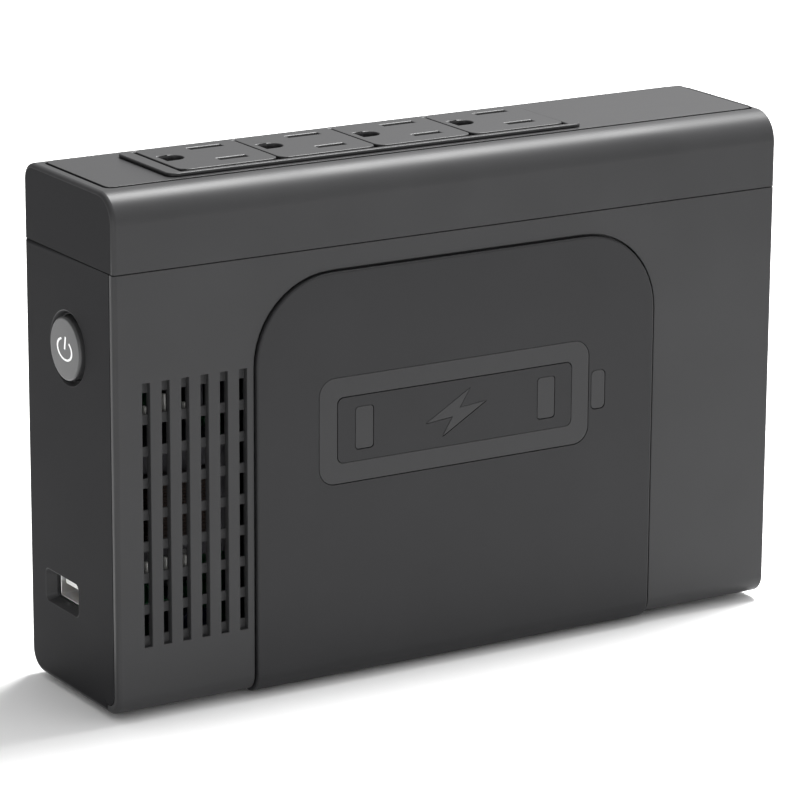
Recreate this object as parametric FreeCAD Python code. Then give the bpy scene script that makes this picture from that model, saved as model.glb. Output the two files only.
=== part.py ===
"""Compact uninterruptible power supply: a slim box that stands on edge, with four outlets on top,
a power button and a USB charging port on the left end, a vented front and a removable front panel.

Millimetres, +Z up. X runs along the length with the button end at -X, the front faces -Y, and the
origin lies under the middle of the footprint, on the surface that the rubber feet rest on.
"""
import FreeCAD, Part
import math
import os

from FreeCAD import Vector

os.makedirs("parts", exist_ok=True)

# ---------------------------------------------------------------- driving dimensions
length = 177.0
depth = 42.8
body_height = 119.5
foot_height = 1.5
cover_height = 17.7
wall = 2.0
seam_gap = 0.2
split_gap = 0.2
left_round = 1.0
right_round = 0.5
front_top_radius = 7.0
rear_top_radius = 6.0
front_bottom_radius = 4.6
rear_bottom_radius = 5.0
front_wrap = 5.4
panel_backing = 3.0

plate_left_margin = 3.2
plate_right_margin = 1.3
plate_front_margin = 7.9
plate_rear_margin = 4.8
plate_thickness = 1.6
plate_gap = 0.6
plate_proud = 0.15

strip_start = 19.4
strip_length = 109.2
strip_front_margin = 9.4
strip_width = 26.0
strip_rise = 1.0
tile_rise = 1.2
tile_pitch = 25.5
tile_count = 4
tile_width = 25.1
tile_depth = 22.3
tile_thickness = 3.3
blade_spacing = 12.7
ground_to_blades = 11.9
neutral_slot = 8.6
hot_slot = 7.4
slot_width = 2.2
ground_hole_radius = 2.7

vent_first = 7.8
vent_pitch = 4.88
vent_columns = 6
vent_slot_width = 2.0
vent_bottom = 15.7
vent_height = 61.0
vent_slot_depth = 1.4
vent_rows = 8
vent_window = 4.95
vent_window_first = 17.95
vent_row_pitch = 7.32

panel_start = 35.4
panel_width = 107.2
panel_top = 96.0
panel_corner_radius = 19.5
panel_proud = 0.7
panel_seat = 1.3
panel_clearance = 0.3
panel_groove = 0.5

button_from_front = 22.2
button_height = 80.6
button_radius = 7.3
button_proud = 0.8
button_travel = 1.2
dish_radius = 8.6
dish_depth = 1.4
guide_clearance = 0.3

usb_from_front = 27.0
usb_height = 22.2
usb_recess = 3.0

inlet_height = 27.0
breaker_height = 62.0
breaker_travel = 3.0

cell_count = 4
cell_radius = 9.1
cell_length = 65.0
cell_pitch = 19.6

# ---------------------------------------------------------------- derived places
left = -length / 2
right = length / 2
front = -depth / 2
rear = depth / 2
base_z = foot_height
top_z = foot_height + body_height
split_z = top_z - cover_height
button_y = front + button_from_front
button_z = base_z + button_height
usb_y = front + usb_from_front
usb_z = base_z + usb_height
inlet_y = 0.0
inlet_z = base_z + inlet_height
breaker_z = base_z + breaker_height
tile_centre_y = front + strip_front_margin + strip_width / 2
plate_top = top_z + plate_proud
strip_top = top_z + strip_rise
tile_top = top_z + tile_rise
board_front = rear - wall - 6.6
board_rear = rear - wall - 5.0
boss_places = [(x, z) for x in (left + 6.2, right - 6.2) for z in (base_z + 8.5, base_z + 94.0)]


# ---------------------------------------------------------------- shape helpers
def box(x0, x1, y0, y1, z0, z1):
    """Block between two opposite corners."""
    return Part.makeBox(x1 - x0, y1 - y0, z1 - z0, Vector(x0, y0, z0))


def centred_box(centre, size):
    """Block of the given size about its centre."""
    low = [c - s / 2 for c, s in zip(centre, size)]
    return Part.makeBox(size[0], size[1], size[2], Vector(*low))


def rod(radius, start, axis, run):
    """Cylinder from a start point along X, Y or Z."""
    directions = {"x": Vector(1, 0, 0), "y": Vector(0, 1, 0), "z": Vector(0, 0, 1)}
    return Part.makeCylinder(radius, run, Vector(*start), directions[axis])


def ring(outer, inner, start, axis, run):
    """Tube from a start point along X, Y or Z."""
    return rod(outer, start, axis, run).cut(rod(inner, start, axis, run))


def on_yz(x):
    return lambda p: Vector(x, p.x, p.y)


def on_xz(y):
    return lambda p: Vector(p.x, y, p.y)


def on_xy(z):
    return lambda p: Vector(p.x, p.y, z)


def rounded_wire(corners, place):
    """Closed wire through (u, v, radius) corners, each one rounded by a tangent arc."""
    turns = []
    for i, (u, v, radius) in enumerate(corners):
        point = Vector(u, v, 0)
        before = Vector(corners[i - 1][0], corners[i - 1][1], 0) - point
        after_corner = corners[(i + 1) % len(corners)]
        after = Vector(after_corner[0], after_corner[1], 0) - point
        before.normalize()
        after.normalize()
        if radius <= 0:
            turns.append((point, None, point))
            continue
        half = before.getAngle(after) / 2
        run = radius / math.tan(half)
        inward = before + after
        inward.normalize()
        middle = point + inward * (radius / math.sin(half) - radius)
        turns.append((point + before * run, middle, point + after * run))
    edges = []
    for i, (start, middle, end) in enumerate(turns):
        if middle is not None:
            edges.append(Part.Arc(place(start), place(middle), place(end)).toShape())
        following = turns[(i + 1) % len(turns)][0]
        if (following - end).Length > 1e-6:
            edges.append(Part.LineSegment(place(end), place(following)).toShape())
    return Part.Wire(edges)


def prism(corners, place, direction):
    """Solid from a rounded outline, pushed along a direction."""
    return Part.Face(rounded_wire(corners, place)).extrude(direction)


def rectangle(u0, u1, v0, v1, radius=0.0):
    """Corners of a rectangle with one radius."""
    return [(u0, v0, radius), (u1, v0, radius), (u1, v1, radius), (u0, v1, radius)]


def plate(u0, u1, v0, v1, radius, z0, z1):
    """Flat rounded slab lying in XY."""
    return prism(rectangle(u0, u1, v0, v1, radius), on_xy(z0), Vector(0, 0, z1 - z0))


def casing(inset, x0, x1):
    """The casing's rounded section, moved inwards by inset, between two X planes."""
    corners = [
        (front + inset, base_z + inset, max(front_bottom_radius - inset, 0.5)),
        (rear - inset, base_z + inset, max(rear_bottom_radius - inset, 0.5)),
        (rear - inset, top_z - inset, max(rear_top_radius - inset, 0.5)),
        (front + inset, top_z - inset, max(front_top_radius - inset, 0.5)),
    ]
    return prism(corners, on_yz(x0), Vector(x1 - x0, 0, 0))


def softened(shape, radius, chosen):
    """Round those edges of a shape for which chosen(edge) is true."""
    edges = [edge for edge in shape.Edges if chosen(edge)]
    return shape.makeFillet(radius, edges)


def soften_ends(shape, chosen):
    """Round the chosen edges at the left end, then those at the right end."""
    for x, radius in ((left, left_round), (right, right_round)):
        shape = softened(shape, radius, lambda edge: abs(edge.CenterOfMass.x - x) < 1e-3 and chosen(edge))
    return shape


def is_outline_edge(edge):
    """True for an edge that lies on the casing's rounded section."""
    outline = casing(0, left - 1, right + 1)
    middle = edge.valueAt((edge.FirstParameter + edge.LastParameter) / 2)
    return Part.Vertex(middle).distToShape(outline.Shells[0])[0] < 1e-3


def fused(shapes):
    """One solid from several that touch or overlap."""
    result = shapes[0].multiFuse(shapes[1:]) if len(shapes) > 1 else shapes[0]
    return result.removeSplitter()


def group(shapes):
    """Separate solids kept together in one node."""
    return Part.makeCompound(shapes)


def panel_outline(growth):
    """Front outline of the removable panel: two large upper corners, open run to the bottom."""
    x0 = left + panel_start - growth
    x1 = left + panel_start + panel_width + growth
    top = base_z + panel_top + growth
    radius = panel_corner_radius + growth
    low = base_z - 10
    return [(x0, low, 0), (x1, low, 0), (x1, top, radius), (x0, top, radius)]


def panel_column(growth):
    """Space in front of and under the casing inside the panel's outline."""
    span = 30.0
    return prism(panel_outline(growth), on_xz(front - span / 2), Vector(0, span, 0))


# ---------------------------------------------------------------- casing parts
def build_front_shell():
    """Front wall that wraps under the lower front edge, with the vents and the panel's seat."""
    low = box(left, right, front, front + front_wrap, base_z, split_z - split_gap / 2)
    skin = casing(0, left, right).cut(casing(wall, left - 1, right + 1)).common(low)

    skin = soften_ends(skin, is_outline_edge)
    pad = box(left + panel_start - 2.0, left + panel_start + panel_width + 2.0, front + 0.5,
              front + panel_backing, base_z + 8.0, split_z - 4.0)
    bosses = [rod(3.0, (x, front + 1.0, z), "y", depth - wall - 5.3) for x, z in boss_places]
    shell = fused([skin, pad] + bosses)
    return cut_front_openings(shell)


def cut_front_openings(shell):
    """Vent grid, seat and opening behind the panel, pilot holes in the bosses."""
    cuts = []
    for column in range(vent_columns):
        x = left + vent_first + column * vent_pitch
        cuts.append(box(x - vent_slot_width / 2, x + vent_slot_width / 2, front - 1,
                        front + vent_slot_depth, base_z + vent_bottom,
                        base_z + vent_bottom + vent_height))
    first = left + vent_first - vent_slot_width / 2
    last = left + vent_first + (vent_columns - 1) * vent_pitch + vent_slot_width / 2
    for row in range(vent_rows):
        z = base_z + vent_window_first + row * vent_row_pitch
        cuts.append(box(first, last, front + vent_slot_depth - 0.05, front + wall + 0.2,
                        z, z + vent_window))
    outside = casing(-8, left - 1, right + 1).cut(casing(panel_seat, left - 2, right + 2))
    cuts.append(outside.common(panel_column(panel_groove)))
    cuts.append(box(*door_opening()))
    for x, z in boss_places:
        cuts.append(rod(1.25, (x, rear - wall - 16, z), "y", 14))
    return shell.cut(cuts)


def door_opening():
    """Opening behind the panel, through which the battery pack comes out."""
    return (left + 42.0, left + 136.0, front - 1, front + 6, base_z + 10.0, base_z + 86.0)


def build_rear_shell():
    """Back, floor and both ends in one piece, open to the front and the top."""
    block = casing(0, left, right).common(
        box(left, right, front, rear, base_z, split_z - split_gap / 2))

    block = soften_ends(block, is_outline_edge)
    cavity = casing(wall, left + wall, right - wall)
    front_zone = casing(-2, left - 1, right + 1).cut(
        casing(wall + seam_gap, left - 2, right + 2)).common(
        box(left - 1, right + 1, front - 2, front + front_wrap + seam_gap, 0, top_z))
    shell = block.cut([cavity, front_zone])
    shell = fused([shell] + rear_shell_features())
    return shell.cut(rear_shell_cuts())


def rear_shell_features():
    """Button guide, USB pad, screw and board bosses, tray rails."""
    guide = rod(9.8, (left + 0.5, button_y, button_z), "x", 5.5)
    usb_pad = centred_box((left + 2.4, usb_y, usb_z), (2.8, 21.0, 13.0))
    shapes = [guide, usb_pad]
    for x, z in boss_places:
        shapes.append(rod(3.6, (x, rear - wall - 4.0, z), "y", 5.0))
    for x, z in board_boss_places():
        shapes.append(rod(2.8, (x, board_rear, z), "y", rear - 0.5 - board_rear))
    for side in (-1, 1):
        x = tray_centre() + side * (tray_width() / 2 + 1.2)
        shapes.append(box(x - 0.7, x + 0.7, -12.0, 6.0, base_z + 1.0, base_z + 7.0))
    return shapes


def rear_shell_cuts():
    """Openings for the button, ports, inlet, breaker and screws, and the rear vents."""
    cuts = [
        rod(dish_radius, (left - 1, button_y, button_z), "x", 1 + dish_depth),
        rod(button_radius + guide_clearance, (left - 1, button_y, button_z), "x", 12),
        usb_pocket(),
        centred_box((left + 2, usb_y, usb_z), (8, 13.4, 6.0)),
        centred_box((right - 1, inlet_y, inlet_z), (6, 20.6, 28.0)),
        rod(5.3, (right - 4, 0, breaker_z), "x", 8),
    ]
    for x, z in boss_places:
        cuts.append(rod(3.1, (x, rear - 1.7, z), "y", 3))
        cuts.append(rod(1.7, (x, rear - wall - 5, z), "y", 8))
    for x, z in board_boss_places():
        cuts.append(rod(1.05, (x, board_rear - 1, z), "y", 5.5))
    for column in range(10):
        x = right - 22.0 - column * 6.0
        cuts.append(prism(rectangle(x - 1.1, x + 1.1, base_z + 22, base_z + 62, 1.05),
                          on_xz(rear - wall - 1), Vector(0, wall + 2, 0)))
    return cuts


def usb_pocket():
    """Tapered pocket round the USB port, wide at the surface."""
    def outline(x, width, height, radius):
        corners = rectangle(usb_y - width / 2, usb_y + width / 2,
                            usb_z - height / 2, usb_z + height / 2, radius)
        return rounded_wire(corners, on_yz(x))
    return Part.makeLoft([outline(left - 0.01, 16.2, 7.8, 1.2), outline(left + 2.2, 13.4, 6.0, 0.5)],
                         True, True)


def board_boss_places():
    """X and Z of the four posts that carry the main board."""
    return [(x, z) for x in (left + 20.0, right - 20.0) for z in (base_z + 12.0, base_z + 91.0)]


def build_top_cover():
    """Upper cap with a seat for the top plate, a window for the outlets and a lip all round."""
    block = casing(0, left, right).common(
        box(left, right, front, rear, split_z + split_gap / 2, top_z))

    block = soften_ends(block, is_outline_edge)
    cavity = casing(wall, left + wall, right - wall).common(
        box(left, right, front, rear, split_z - 5, top_z - 3.4))
    lip_outer = casing(wall + 0.2, left + wall + 0.2, right - wall - 0.2)
    lip_inner = casing(wall + 1.2, left + wall + 1.2, right - wall - 1.2)
    lip = lip_outer.cut(lip_inner).common(
        box(left, right, front, rear, split_z - 2.5, split_z + 4))
    root = casing(1.0, left + 1.0, right - 1.0).cut(lip_inner).common(
        box(left, right, front, rear, split_z + 1.5, split_z + 4))
    cover = fused([block.cut(cavity), lip, root])
    seat = plate(*plate_span(plate_gap), 1.9, top_z - plate_thickness - 0.1, top_z + 1)
    window = box(left + strip_start + 1.0, left + strip_start + strip_length - 1.0,
                 tile_centre_y - 12.4, tile_centre_y + 12.4, split_z, top_z + 1)
    return cover.cut([seat, window])


def plate_span(growth):
    """X and Y limits of the top plate, grown all round."""
    return (left + plate_left_margin - growth, right - plate_right_margin + growth,
            front + plate_front_margin - growth, rear - plate_rear_margin + growth)


def build_top_plate():
    """Plate let into the top cover, with an opening for the outlet strip."""
    slab = plate(*plate_span(0), 1.5, top_z - plate_thickness, plate_top)
    opening = box(left + strip_start + 1.4, left + strip_start + strip_length - 1.4,
                  tile_centre_y - 12.0, tile_centre_y + 12.0, top_z - 3, top_z + 1)
    return slab.cut(opening)


# ---------------------------------------------------------------- outlets
def tile_centre(index):
    """X of the middle of one outlet face."""
    first = strip_start + (strip_length - (tile_count - 1) * tile_pitch) / 2
    return left + first + index * tile_pitch


def build_outlet_strip():
    """Raised frame round the outlet faces, with a skirt down through the top plate."""
    x0 = left + strip_start
    x1 = x0 + strip_length
    flange = plate(x0, x1, tile_centre_y - strip_width / 2, tile_centre_y + strip_width / 2,
                   2.4, plate_top, strip_top)
    skirt = box(x0 + 1.8, x1 - 1.8, tile_centre_y - 11.75, tile_centre_y + 11.75, top_z - 6.0, plate_top)
    reach = (tile_count - 1) * tile_pitch / 2 + tile_width / 2 + 0.3
    middle = (tile_centre(0) + tile_centre(tile_count - 1)) / 2
    window = box(middle - reach, middle + reach, tile_centre_y - tile_depth / 2 - 0.3,
                 tile_centre_y + tile_depth / 2 + 0.3, top_z - 7, tile_top + 1)
    return fused([flange, skirt]).cut(window)


def outlet_holes(centre_x, growth, z0, z1):
    """Cutters for one outlet: ground hole, neutral slot at the back, hot slot at the front."""
    ground_x = centre_x - 8.2
    blade_x = ground_x + ground_to_blades
    neutral_y = tile_centre_y + 1.2 + blade_spacing / 2
    hot_y = tile_centre_y + 1.2 - blade_spacing / 2
    half_width = slot_width / 2 + growth
    half_neutral = neutral_slot / 2 + growth
    half_hot = hot_slot / 2 + growth
    ground_y = tile_centre_y + 1.2
    radius = ground_hole_radius + growth
    round_part = rod(radius, (ground_x, ground_y, z0), "z", z1 - z0)
    square_part = box(ground_x - radius, ground_x, ground_y - radius, ground_y + radius, z0, z1)
    return [
        round_part.fuse(square_part),
        box(blade_x - half_neutral, blade_x + half_neutral, neutral_y - half_width,
            neutral_y + half_width, z0, z1),
        box(blade_x - half_hot, blade_x + half_hot, hot_y - half_width, hot_y + half_width, z0, z1),
    ]


def build_outlet_face(index):
    """Face of one outlet: a rounded tile with the three contact holes."""
    x = tile_centre(index)
    y0 = tile_centre_y - tile_depth / 2
    y1 = tile_centre_y + tile_depth / 2
    corners = [(x - tile_width / 2, y0, 2.6), (x + tile_width / 2, y0, 2.6),
               (x + tile_width / 2, y1, 1.0), (x - tile_width / 2, y1, 1.0)]
    tile = prism(corners, on_xy(tile_top - tile_thickness), Vector(0, 0, tile_thickness))
    return tile.cut(outlet_holes(x, 0.0, tile_top - tile_thickness - 1, tile_top + 1))


def outlet_base_span():
    """X and Y limits of the insulating block under the outlet faces."""
    return (left + strip_start + 4.0, left + strip_start + strip_length - 4.0,
            tile_centre_y - 11.0, tile_centre_y + 11.0)


def build_outlet_base():
    """Insulating block with a well under every contact hole."""
    x0, x1, y0, y1 = outlet_base_span()
    block = box(x0, x1, y0, y1, top_z - 15.0, tile_top - tile_thickness - 0.05)
    cuts = []
    for index in range(tile_count):
        cuts += outlet_holes(tile_centre(index), 0.7, top_z - 16, top_z)
    return block.cut(cuts)


def build_outlet_base_cover():
    """Insulating sheet that closes the block below the contact bars."""
    x0, x1, y0, y1 = outlet_base_span()
    return box(x0, x1, y0, y1, top_z - 17.4, top_z - 16.1)


def build_contact_bar(offset_x, offset_y, reach):
    """Brass bar under the block, with a pair of spring leaves up into each well."""
    z1 = top_z - 15.05
    z0 = z1 - 0.9
    x_first = tile_centre(0) - 8.2 + offset_x
    x_last = tile_centre(tile_count - 1) - 8.2 + offset_x
    y = tile_centre_y + 1.2 + offset_y
    shapes = [box(x_first - 5.0, x_last + 5.0, y - 2.0, y + 2.0, z0, z1)]
    for index in range(tile_count):
        x = tile_centre(index) - 8.2 + offset_x
        for side in (-1, 1):
            leaf_y = y + side * 1.25
            shapes.append(box(x - reach, x + reach, leaf_y - 0.3, leaf_y + 0.3, z1 - 0.3, z1 + 8.0))
    return fused(shapes)


# ---------------------------------------------------------------- button, switch and USB
def build_power_button():
    """Round cap with a soft edge, a retaining flange and a stem that meets the switch."""
    face_x = left - button_proud
    cap = rod(button_radius, (face_x, button_y, button_z), "x", button_proud + 6.4)

    def is_face_edge(edge):
        return abs(edge.CenterOfMass.x - face_x) < 1e-3

    cap = softened(cap, 0.9, is_face_edge)
    hollow = ring(button_radius - 1.2, 2.6, (left + 1.6, button_y, button_z), "x", 10)
    flange = rod(button_radius + 1.5, (left + 6.3, button_y, button_z), "x", 1.0)
    stem = rod(1.8, (left + 1.0, button_y, button_z), "x", 7.6)
    button = fused([cap, flange, stem]).cut(hollow)
    return button.cut(power_icon_solids(0.3))


def power_icon_solids(thickness):
    """Broken ring and bar of the standby symbol, let into the button's face."""
    x0 = left - button_proud
    wide = 3.75
    tall = 2.55
    middle_z = button_z - 0.1
    lean = 9.0
    stroke = 0.62

    def oval(a, b):
        curve = Part.Ellipse(Vector(0, 0, 0), a, b)
        edge = curve.toShape()
        turn = FreeCAD.Placement(Vector(x0 - 0.05, button_y, middle_z),
                                 FreeCAD.Rotation(Vector(0, 1, 0), Vector(0, 0, 1), Vector(1, 0, 0),
                                                  "XYZ"))
        edge.Placement = turn
        return Part.Face(Part.Wire([edge])).extrude(Vector(thickness + 0.05, 0, 0))

    loop = oval(wide, tall).cut(oval(wide - stroke, tall - stroke))
    gap = box(x0 - 1, x0 + 1, button_y - 1.9, button_y + 1.9, middle_z, button_z + 5)
    bar = box(x0 - 0.05, x0 + thickness, button_y - stroke / 2, button_y + stroke / 2,
              middle_z, middle_z + 3.0)
    symbol = [loop.cut(gap), bar]
    for solid in symbol:
        solid.rotate(Vector(x0, button_y, middle_z), Vector(1, 0, 0), lean)
    return symbol


def build_control_board():
    """Small board behind the left end that carries the power switch."""
    board = box(left + 13.0, left + 14.6, button_y - 13.0, button_y + 11.0,
                button_z - 17.0, button_z + 12.0)
    return board


def build_lead_combs():
    """Two combs that hold the thin leads behind the first three vent columns."""
    upper = lead_comb(base_z + 68.6, (2.0, 4.2, 1.6))
    upper.append(box(left + 13.0, left + 14.6, front + 4.5, front + 9.19, base_z + 67.0, base_z + 68.6))
    lower = lead_comb(base_z + 31.9, (2.7, 3.1, 2.8))
    lower.append(box(left + 20.4, left + 22.0, front + 3.6, front + 8.99, base_z + 30.3, base_z + 34.0))
    return group([fused(upper), fused(lower)])


def lead_comb(top, teeth):
    """Bar with one upright tooth beside each of the first three vent columns."""
    shapes = [box(left + 8.4, left + 22.0, front + 3.6, front + 4.6, top - 1.6, top)]
    for column, tall in enumerate(teeth):
        x = left + vent_first + column * vent_pitch + 1.3
        shapes.append(box(x - 0.3, x + 0.3, front + 2.5, front + 3.7, top - 1.6, top + tall))
    return shapes


def build_switch_body():
    """Push switch on the control board."""
    body = box(left + 10.2, left + 13.0, button_y - 3.0, button_y + 3.0, button_z - 3.0, button_z + 3.0)
    return body.cut(rod(1.5, (left + 10.0, button_y, button_z), "x", 2.4))


def build_switch_plunger():
    """Plunger of the switch, against the end of the button's stem."""
    return rod(1.43, (left + 8.6, button_y, button_z), "x", 2.3)


def build_usb_shell():
    """Bent metal shell of the USB-A receptacle."""
    x0 = left + usb_recess
    outer = centred_box((x0 + 7.0, usb_y, usb_z), (14.0, 13.1, 5.7))
    inner = centred_box((x0 + 6.7, usb_y, usb_z), (14.0, 12.5, 5.1))
    return outer.cut(inner)


def build_usb_tongue():
    """Insulator that carries the four contacts."""
    x0 = left + usb_recess
    tongue = box(x0 + 0.8, x0 + 12.0, usb_y - 5.6, usb_y + 5.6, usb_z + 0.1, usb_z + 1.94)
    block = box(x0 + 11.0, x0 + 13.6, usb_y - 6.2, usb_y + 6.2, usb_z - 2.5, usb_z + 2.5)
    return fused([tongue, block])


def build_usb_contacts():
    """Four spring contacts under the tongue."""
    x0 = left + usb_recess
    strips = []
    for offset in (-3.5, -1.0, 1.0, 3.5):
        y = usb_y + offset
        strips.append(box(x0 + 1.6, x0 + 10.9, y - 0.5, y + 0.5, usb_z - 0.15, usb_z + 0.08))
    return group(strips)


def build_usb_board():
    """Board that the USB receptacle stands on."""
    x0 = left + usb_recess
    return box(x0 + 2.4, x0 + 20.0, usb_y - 8.4, usb_y + 6.6, usb_z - 4.5, usb_z - 2.9)


# ---------------------------------------------------------------- front panel
def build_front_panel():
    """Removable panel that stands slightly proud and wraps under the lower front edge."""
    inner = casing(panel_seat - panel_clearance, left - 2, right + 2)
    skin = casing(-panel_proud, left - 1, right + 1).cut(inner)
    reach = box(left, right, front - 5, front + front_wrap - 0.4, -5, top_z)
    panel = skin.common(panel_column(0)).common(reach)
    hooks = []
    for x in (-24.0, 24.0):
        hooks.append(box(x - 4, x + 4, front + 0.6, front + 4.4, base_z + 83.6, base_z + 85.4))
        hooks.append(box(x - 4, x + 4, front + 0.6, front + 4.4, base_z + 10.6, base_z + 12.4))
    return fused([panel] + hooks).cut(emblem_solids(0.15, 0.5))


def emblem_solids(growth, sink):
    """Generic battery outline with a spark, as thin slabs let into the panel's face."""
    centre_x = left + 87.8
    centre_z = base_z + 59.0
    face_y = front - panel_proud
    half = 36.4
    tall = 12.4
    band = 4.6

    def slab(corners, extra=0.0):
        return prism(corners, on_xz(face_y - extra), Vector(0, sink + extra, 0))

    def frame_corners(inset, radius):
        x0 = centre_x - half + inset
        x1 = centre_x + half - inset
        return rectangle(x0, x1, centre_z - tall + inset, centre_z + tall - inset, radius)

    over = 1.0 if growth else 0.1
    outline = slab(frame_corners(-growth, 4.0 + growth), over)
    outline = outline.cut(slab(frame_corners(band + growth, 1.6), over + 1))
    nub = slab(rectangle(centre_x + half + 0.9 - growth, centre_x + half + 4.6 + growth,
                         centre_z - 4.6 - growth, centre_z + 4.6 + growth, 1.2), over)
    bars = []
    for place in (-24.6, 24.6):
        x = centre_x + place
        bars.append(slab(rectangle(x - 2.3 - growth, x + 2.3 + growth, centre_z - 4.9 - growth,
                                   centre_z + 4.9 + growth, 0.8), over))
    spark = [(-8.0, -1.6), (3.6, 5.2), (0.9, 0.9), (8.0, 1.6), (-3.6, -5.2), (-0.9, -0.9)]
    stretch = 1.0 + growth / 4.0
    bolt = slab([(centre_x + u * stretch, centre_z + v * stretch, 0) for u, v in spark], over)
    return [outline, nub, bolt] + bars


# ---------------------------------------------------------------- electronics
def build_main_board():
    """Main board on four posts of the rear shell, notched round the screw bosses."""
    board = box(left + 4.2, right - 3.0, board_front, board_rear, base_z + 4.0, base_z + 96.5)
    cuts = []
    for x, z in boss_places:
        cuts.append(centred_box((x, board_rear, z), (10.0, 6.0, 10.0)))
    for x, z in board_boss_places():
        cuts.append(rod(1.6, (x, board_front - 1, z), "y", 4))
    return board.cut(cuts)


def build_transformer():
    """Core, winding and strap of the transformer behind the vents."""
    x0, x1 = left + 5.5, left + 33.5
    y0, y1 = front + 6.0, board_front - 3.0
    z0, z1 = base_z + 32.0, base_z + 58.0
    core = box(x0, x1, y0 + 3.0, y1 - 3.0, z0, z1)
    windows = [box(x0 + 5.0, x0 + 10.0, y0, y1, z0 + 5.0, z1 - 5.0),
               box(x1 - 10.0, x1 - 5.0, y0, y1, z0 + 5.0, z1 - 5.0)]
    core = core.cut(windows)
    limb = box(x0 + 10.0, x1 - 10.0, y0 + 3.0, y1 - 3.0, z0 + 5.0, z1 - 5.0)
    winding = prism(rectangle(x0 + 5.4, x1 - 5.4, y0, y1, 2.5), on_xy(z0 + 5.4),
                    Vector(0, 0, z1 - z0 - 10.8))
    winding = winding.cut(limb)
    strap = box(x0 - 0.8, x1 + 0.8, y1 - 2.9, board_front - 0.05, z0 - 0.8, z1 + 0.8)
    strap = strap.cut(box(x0 + 3.0, x1 - 3.0, y1 - 4, board_front - 1.2, z0 - 2, z1 + 2))
    return core, winding, strap


def build_heatsink():
    """Finned aluminium block for the switching transistors."""
    x0 = left + 21.0
    z0, z1 = base_z + 64.0, base_z + 88.0
    spine = box(x0, x0 + 14.0, board_front - 6.0, board_front - 3.0, z0, z1)
    fins = []
    for index in range(5):
        x = x0 + index * 3.1
        fins.append(box(x, x + 1.4, board_front - 22.0, board_front - 5.5, z0, z1))
    feet = [box(x0 + 1.0, x0 + 3.0, board_front - 3.5, board_front - 0.02, z0, z0 + 3.0),
            box(x0 + 11.0, x0 + 13.0, board_front - 3.5, board_front - 0.02, z0, z0 + 3.0)]
    return fused([spine] + fins + feet)


def build_transistors():
    """Two power transistors between the board and the heatsink."""
    x0 = left + 21.0
    bodies = []
    for z in (base_z + 71.0, base_z + 81.0):
        bodies.append(box(x0 + 2.0, x0 + 12.0, board_front - 2.95, board_front - 0.4, z - 4.0, z + 4.0))
    return group(bodies)


def build_capacitors():
    """Electrolytic capacitors that stand on the board."""
    places = [(left + 28.0, base_z + 12.5, 5.0, 20.0), (right - 36.2, base_z + 78.0, 5.2, 21.0),
              (right - 36.2, base_z + 64.0, 5.2, 21.0), (right - 36.2, base_z + 50.0, 5.2, 21.0)]
    cans = []
    for x, z, radius, tall in places:
        can = rod(radius, (x, board_front - tall, z), "y", tall - 0.02)
        cans.append(can)
    return group(cans)


def build_relays():
    """Transfer relays on the board."""
    cases = []
    for x in (right - 30.0, right - 18.5):
        cases.append(box(x, x + 11.0, board_front - 15.5, board_front - 0.02,
                         base_z + 70.8, base_z + 87.0))
    return group(cases)


def build_buzzer():
    """Sounder on the board."""
    body = rod(5.8, (left + 28.5, board_front - 8.5, base_z + 24.5 + 0.5), "y", 8.48)
    return body.cut(rod(0.9, (left + 28.5, board_front - 9.0, base_z + 25.0), "y", 3.0))


def build_battery_connector():
    """Two-way header where the battery leads join the board."""
    return box(lead_x() - 4.0, lead_x() + 4.0, board_front - 7.4, board_front - 0.02,
               base_z + 88.5, base_z + 94.5)


# ---------------------------------------------------------------- battery pack
def tray_width():
    return 92.0


def tray_centre():
    return left + 89.0


def build_battery_tray():
    """Open-fronted liner that holds the battery pack."""
    x0 = tray_centre() - tray_width() / 2
    x1 = x0 + tray_width()
    z0, z1 = base_z + 7.2, base_z + 87.0
    y0, y1 = front + panel_backing + 0.3, front + 27.6
    tray = box(x0, x1, y0, y1, z0, z1).cut(box(x0 + 1.4, x1 - 1.4, y0 - 1, y1 - 1.4, z0 + 1.4, z1 - 1.4))
    lead_hole = rod(3.4, (lead_x(), y1 - 4, base_z + 81.5), "y", 8)
    return tray.cut(lead_hole)


def cell_places():
    """X of each cell's axis."""
    first = tray_centre() - 4.2 - (cell_count - 1) * cell_pitch / 2
    return [first + index * cell_pitch for index in range(cell_count)]


cell_y = front + 15.2
cell_z = base_z + 14.0


def build_battery_cells():
    """Four cylindrical cells standing side by side."""
    cells = []
    for x in cell_places():
        can = rod(cell_radius, (x, cell_y, cell_z), "z", cell_length)
        tip = rod(2.6, (x, cell_y, cell_z + cell_length - 0.5), "z", 1.4)
        cells.append(fused([can, tip]))
    return group(cells)


def build_cell_holders():
    """End caps that hold the cells at their spacing."""
    places = cell_places()
    x0, x1 = places[0] - 10.2, places[-1] + 10.2
    holders = []
    for z0, z1, bore in ((cell_z - 3.4, cell_z + 5.0, cell_z - 0.5),
                         (cell_z + cell_length - 5.0, cell_z + cell_length + 1.4, None)):
        holder = box(x0, x1, cell_y - 9.9, cell_y + 9.9, z0, z1)
        cuts = []
        for x in places:
            if bore is not None:
                cuts.append(rod(cell_radius + 0.05, (x, cell_y, cell_z - 0.02), "z", 10))
                cuts.append(rod(5.0, (x, cell_y, z0 - 1), "z", 6))
            else:
                cuts.append(rod(cell_radius + 0.05, (x, cell_y, z0 - 1), "z", 6.05))
                cuts.append(rod(5.0, (x, cell_y, z0), "z", 8))
        holders.append(holder.cut(cuts))
    return group(holders)


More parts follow.
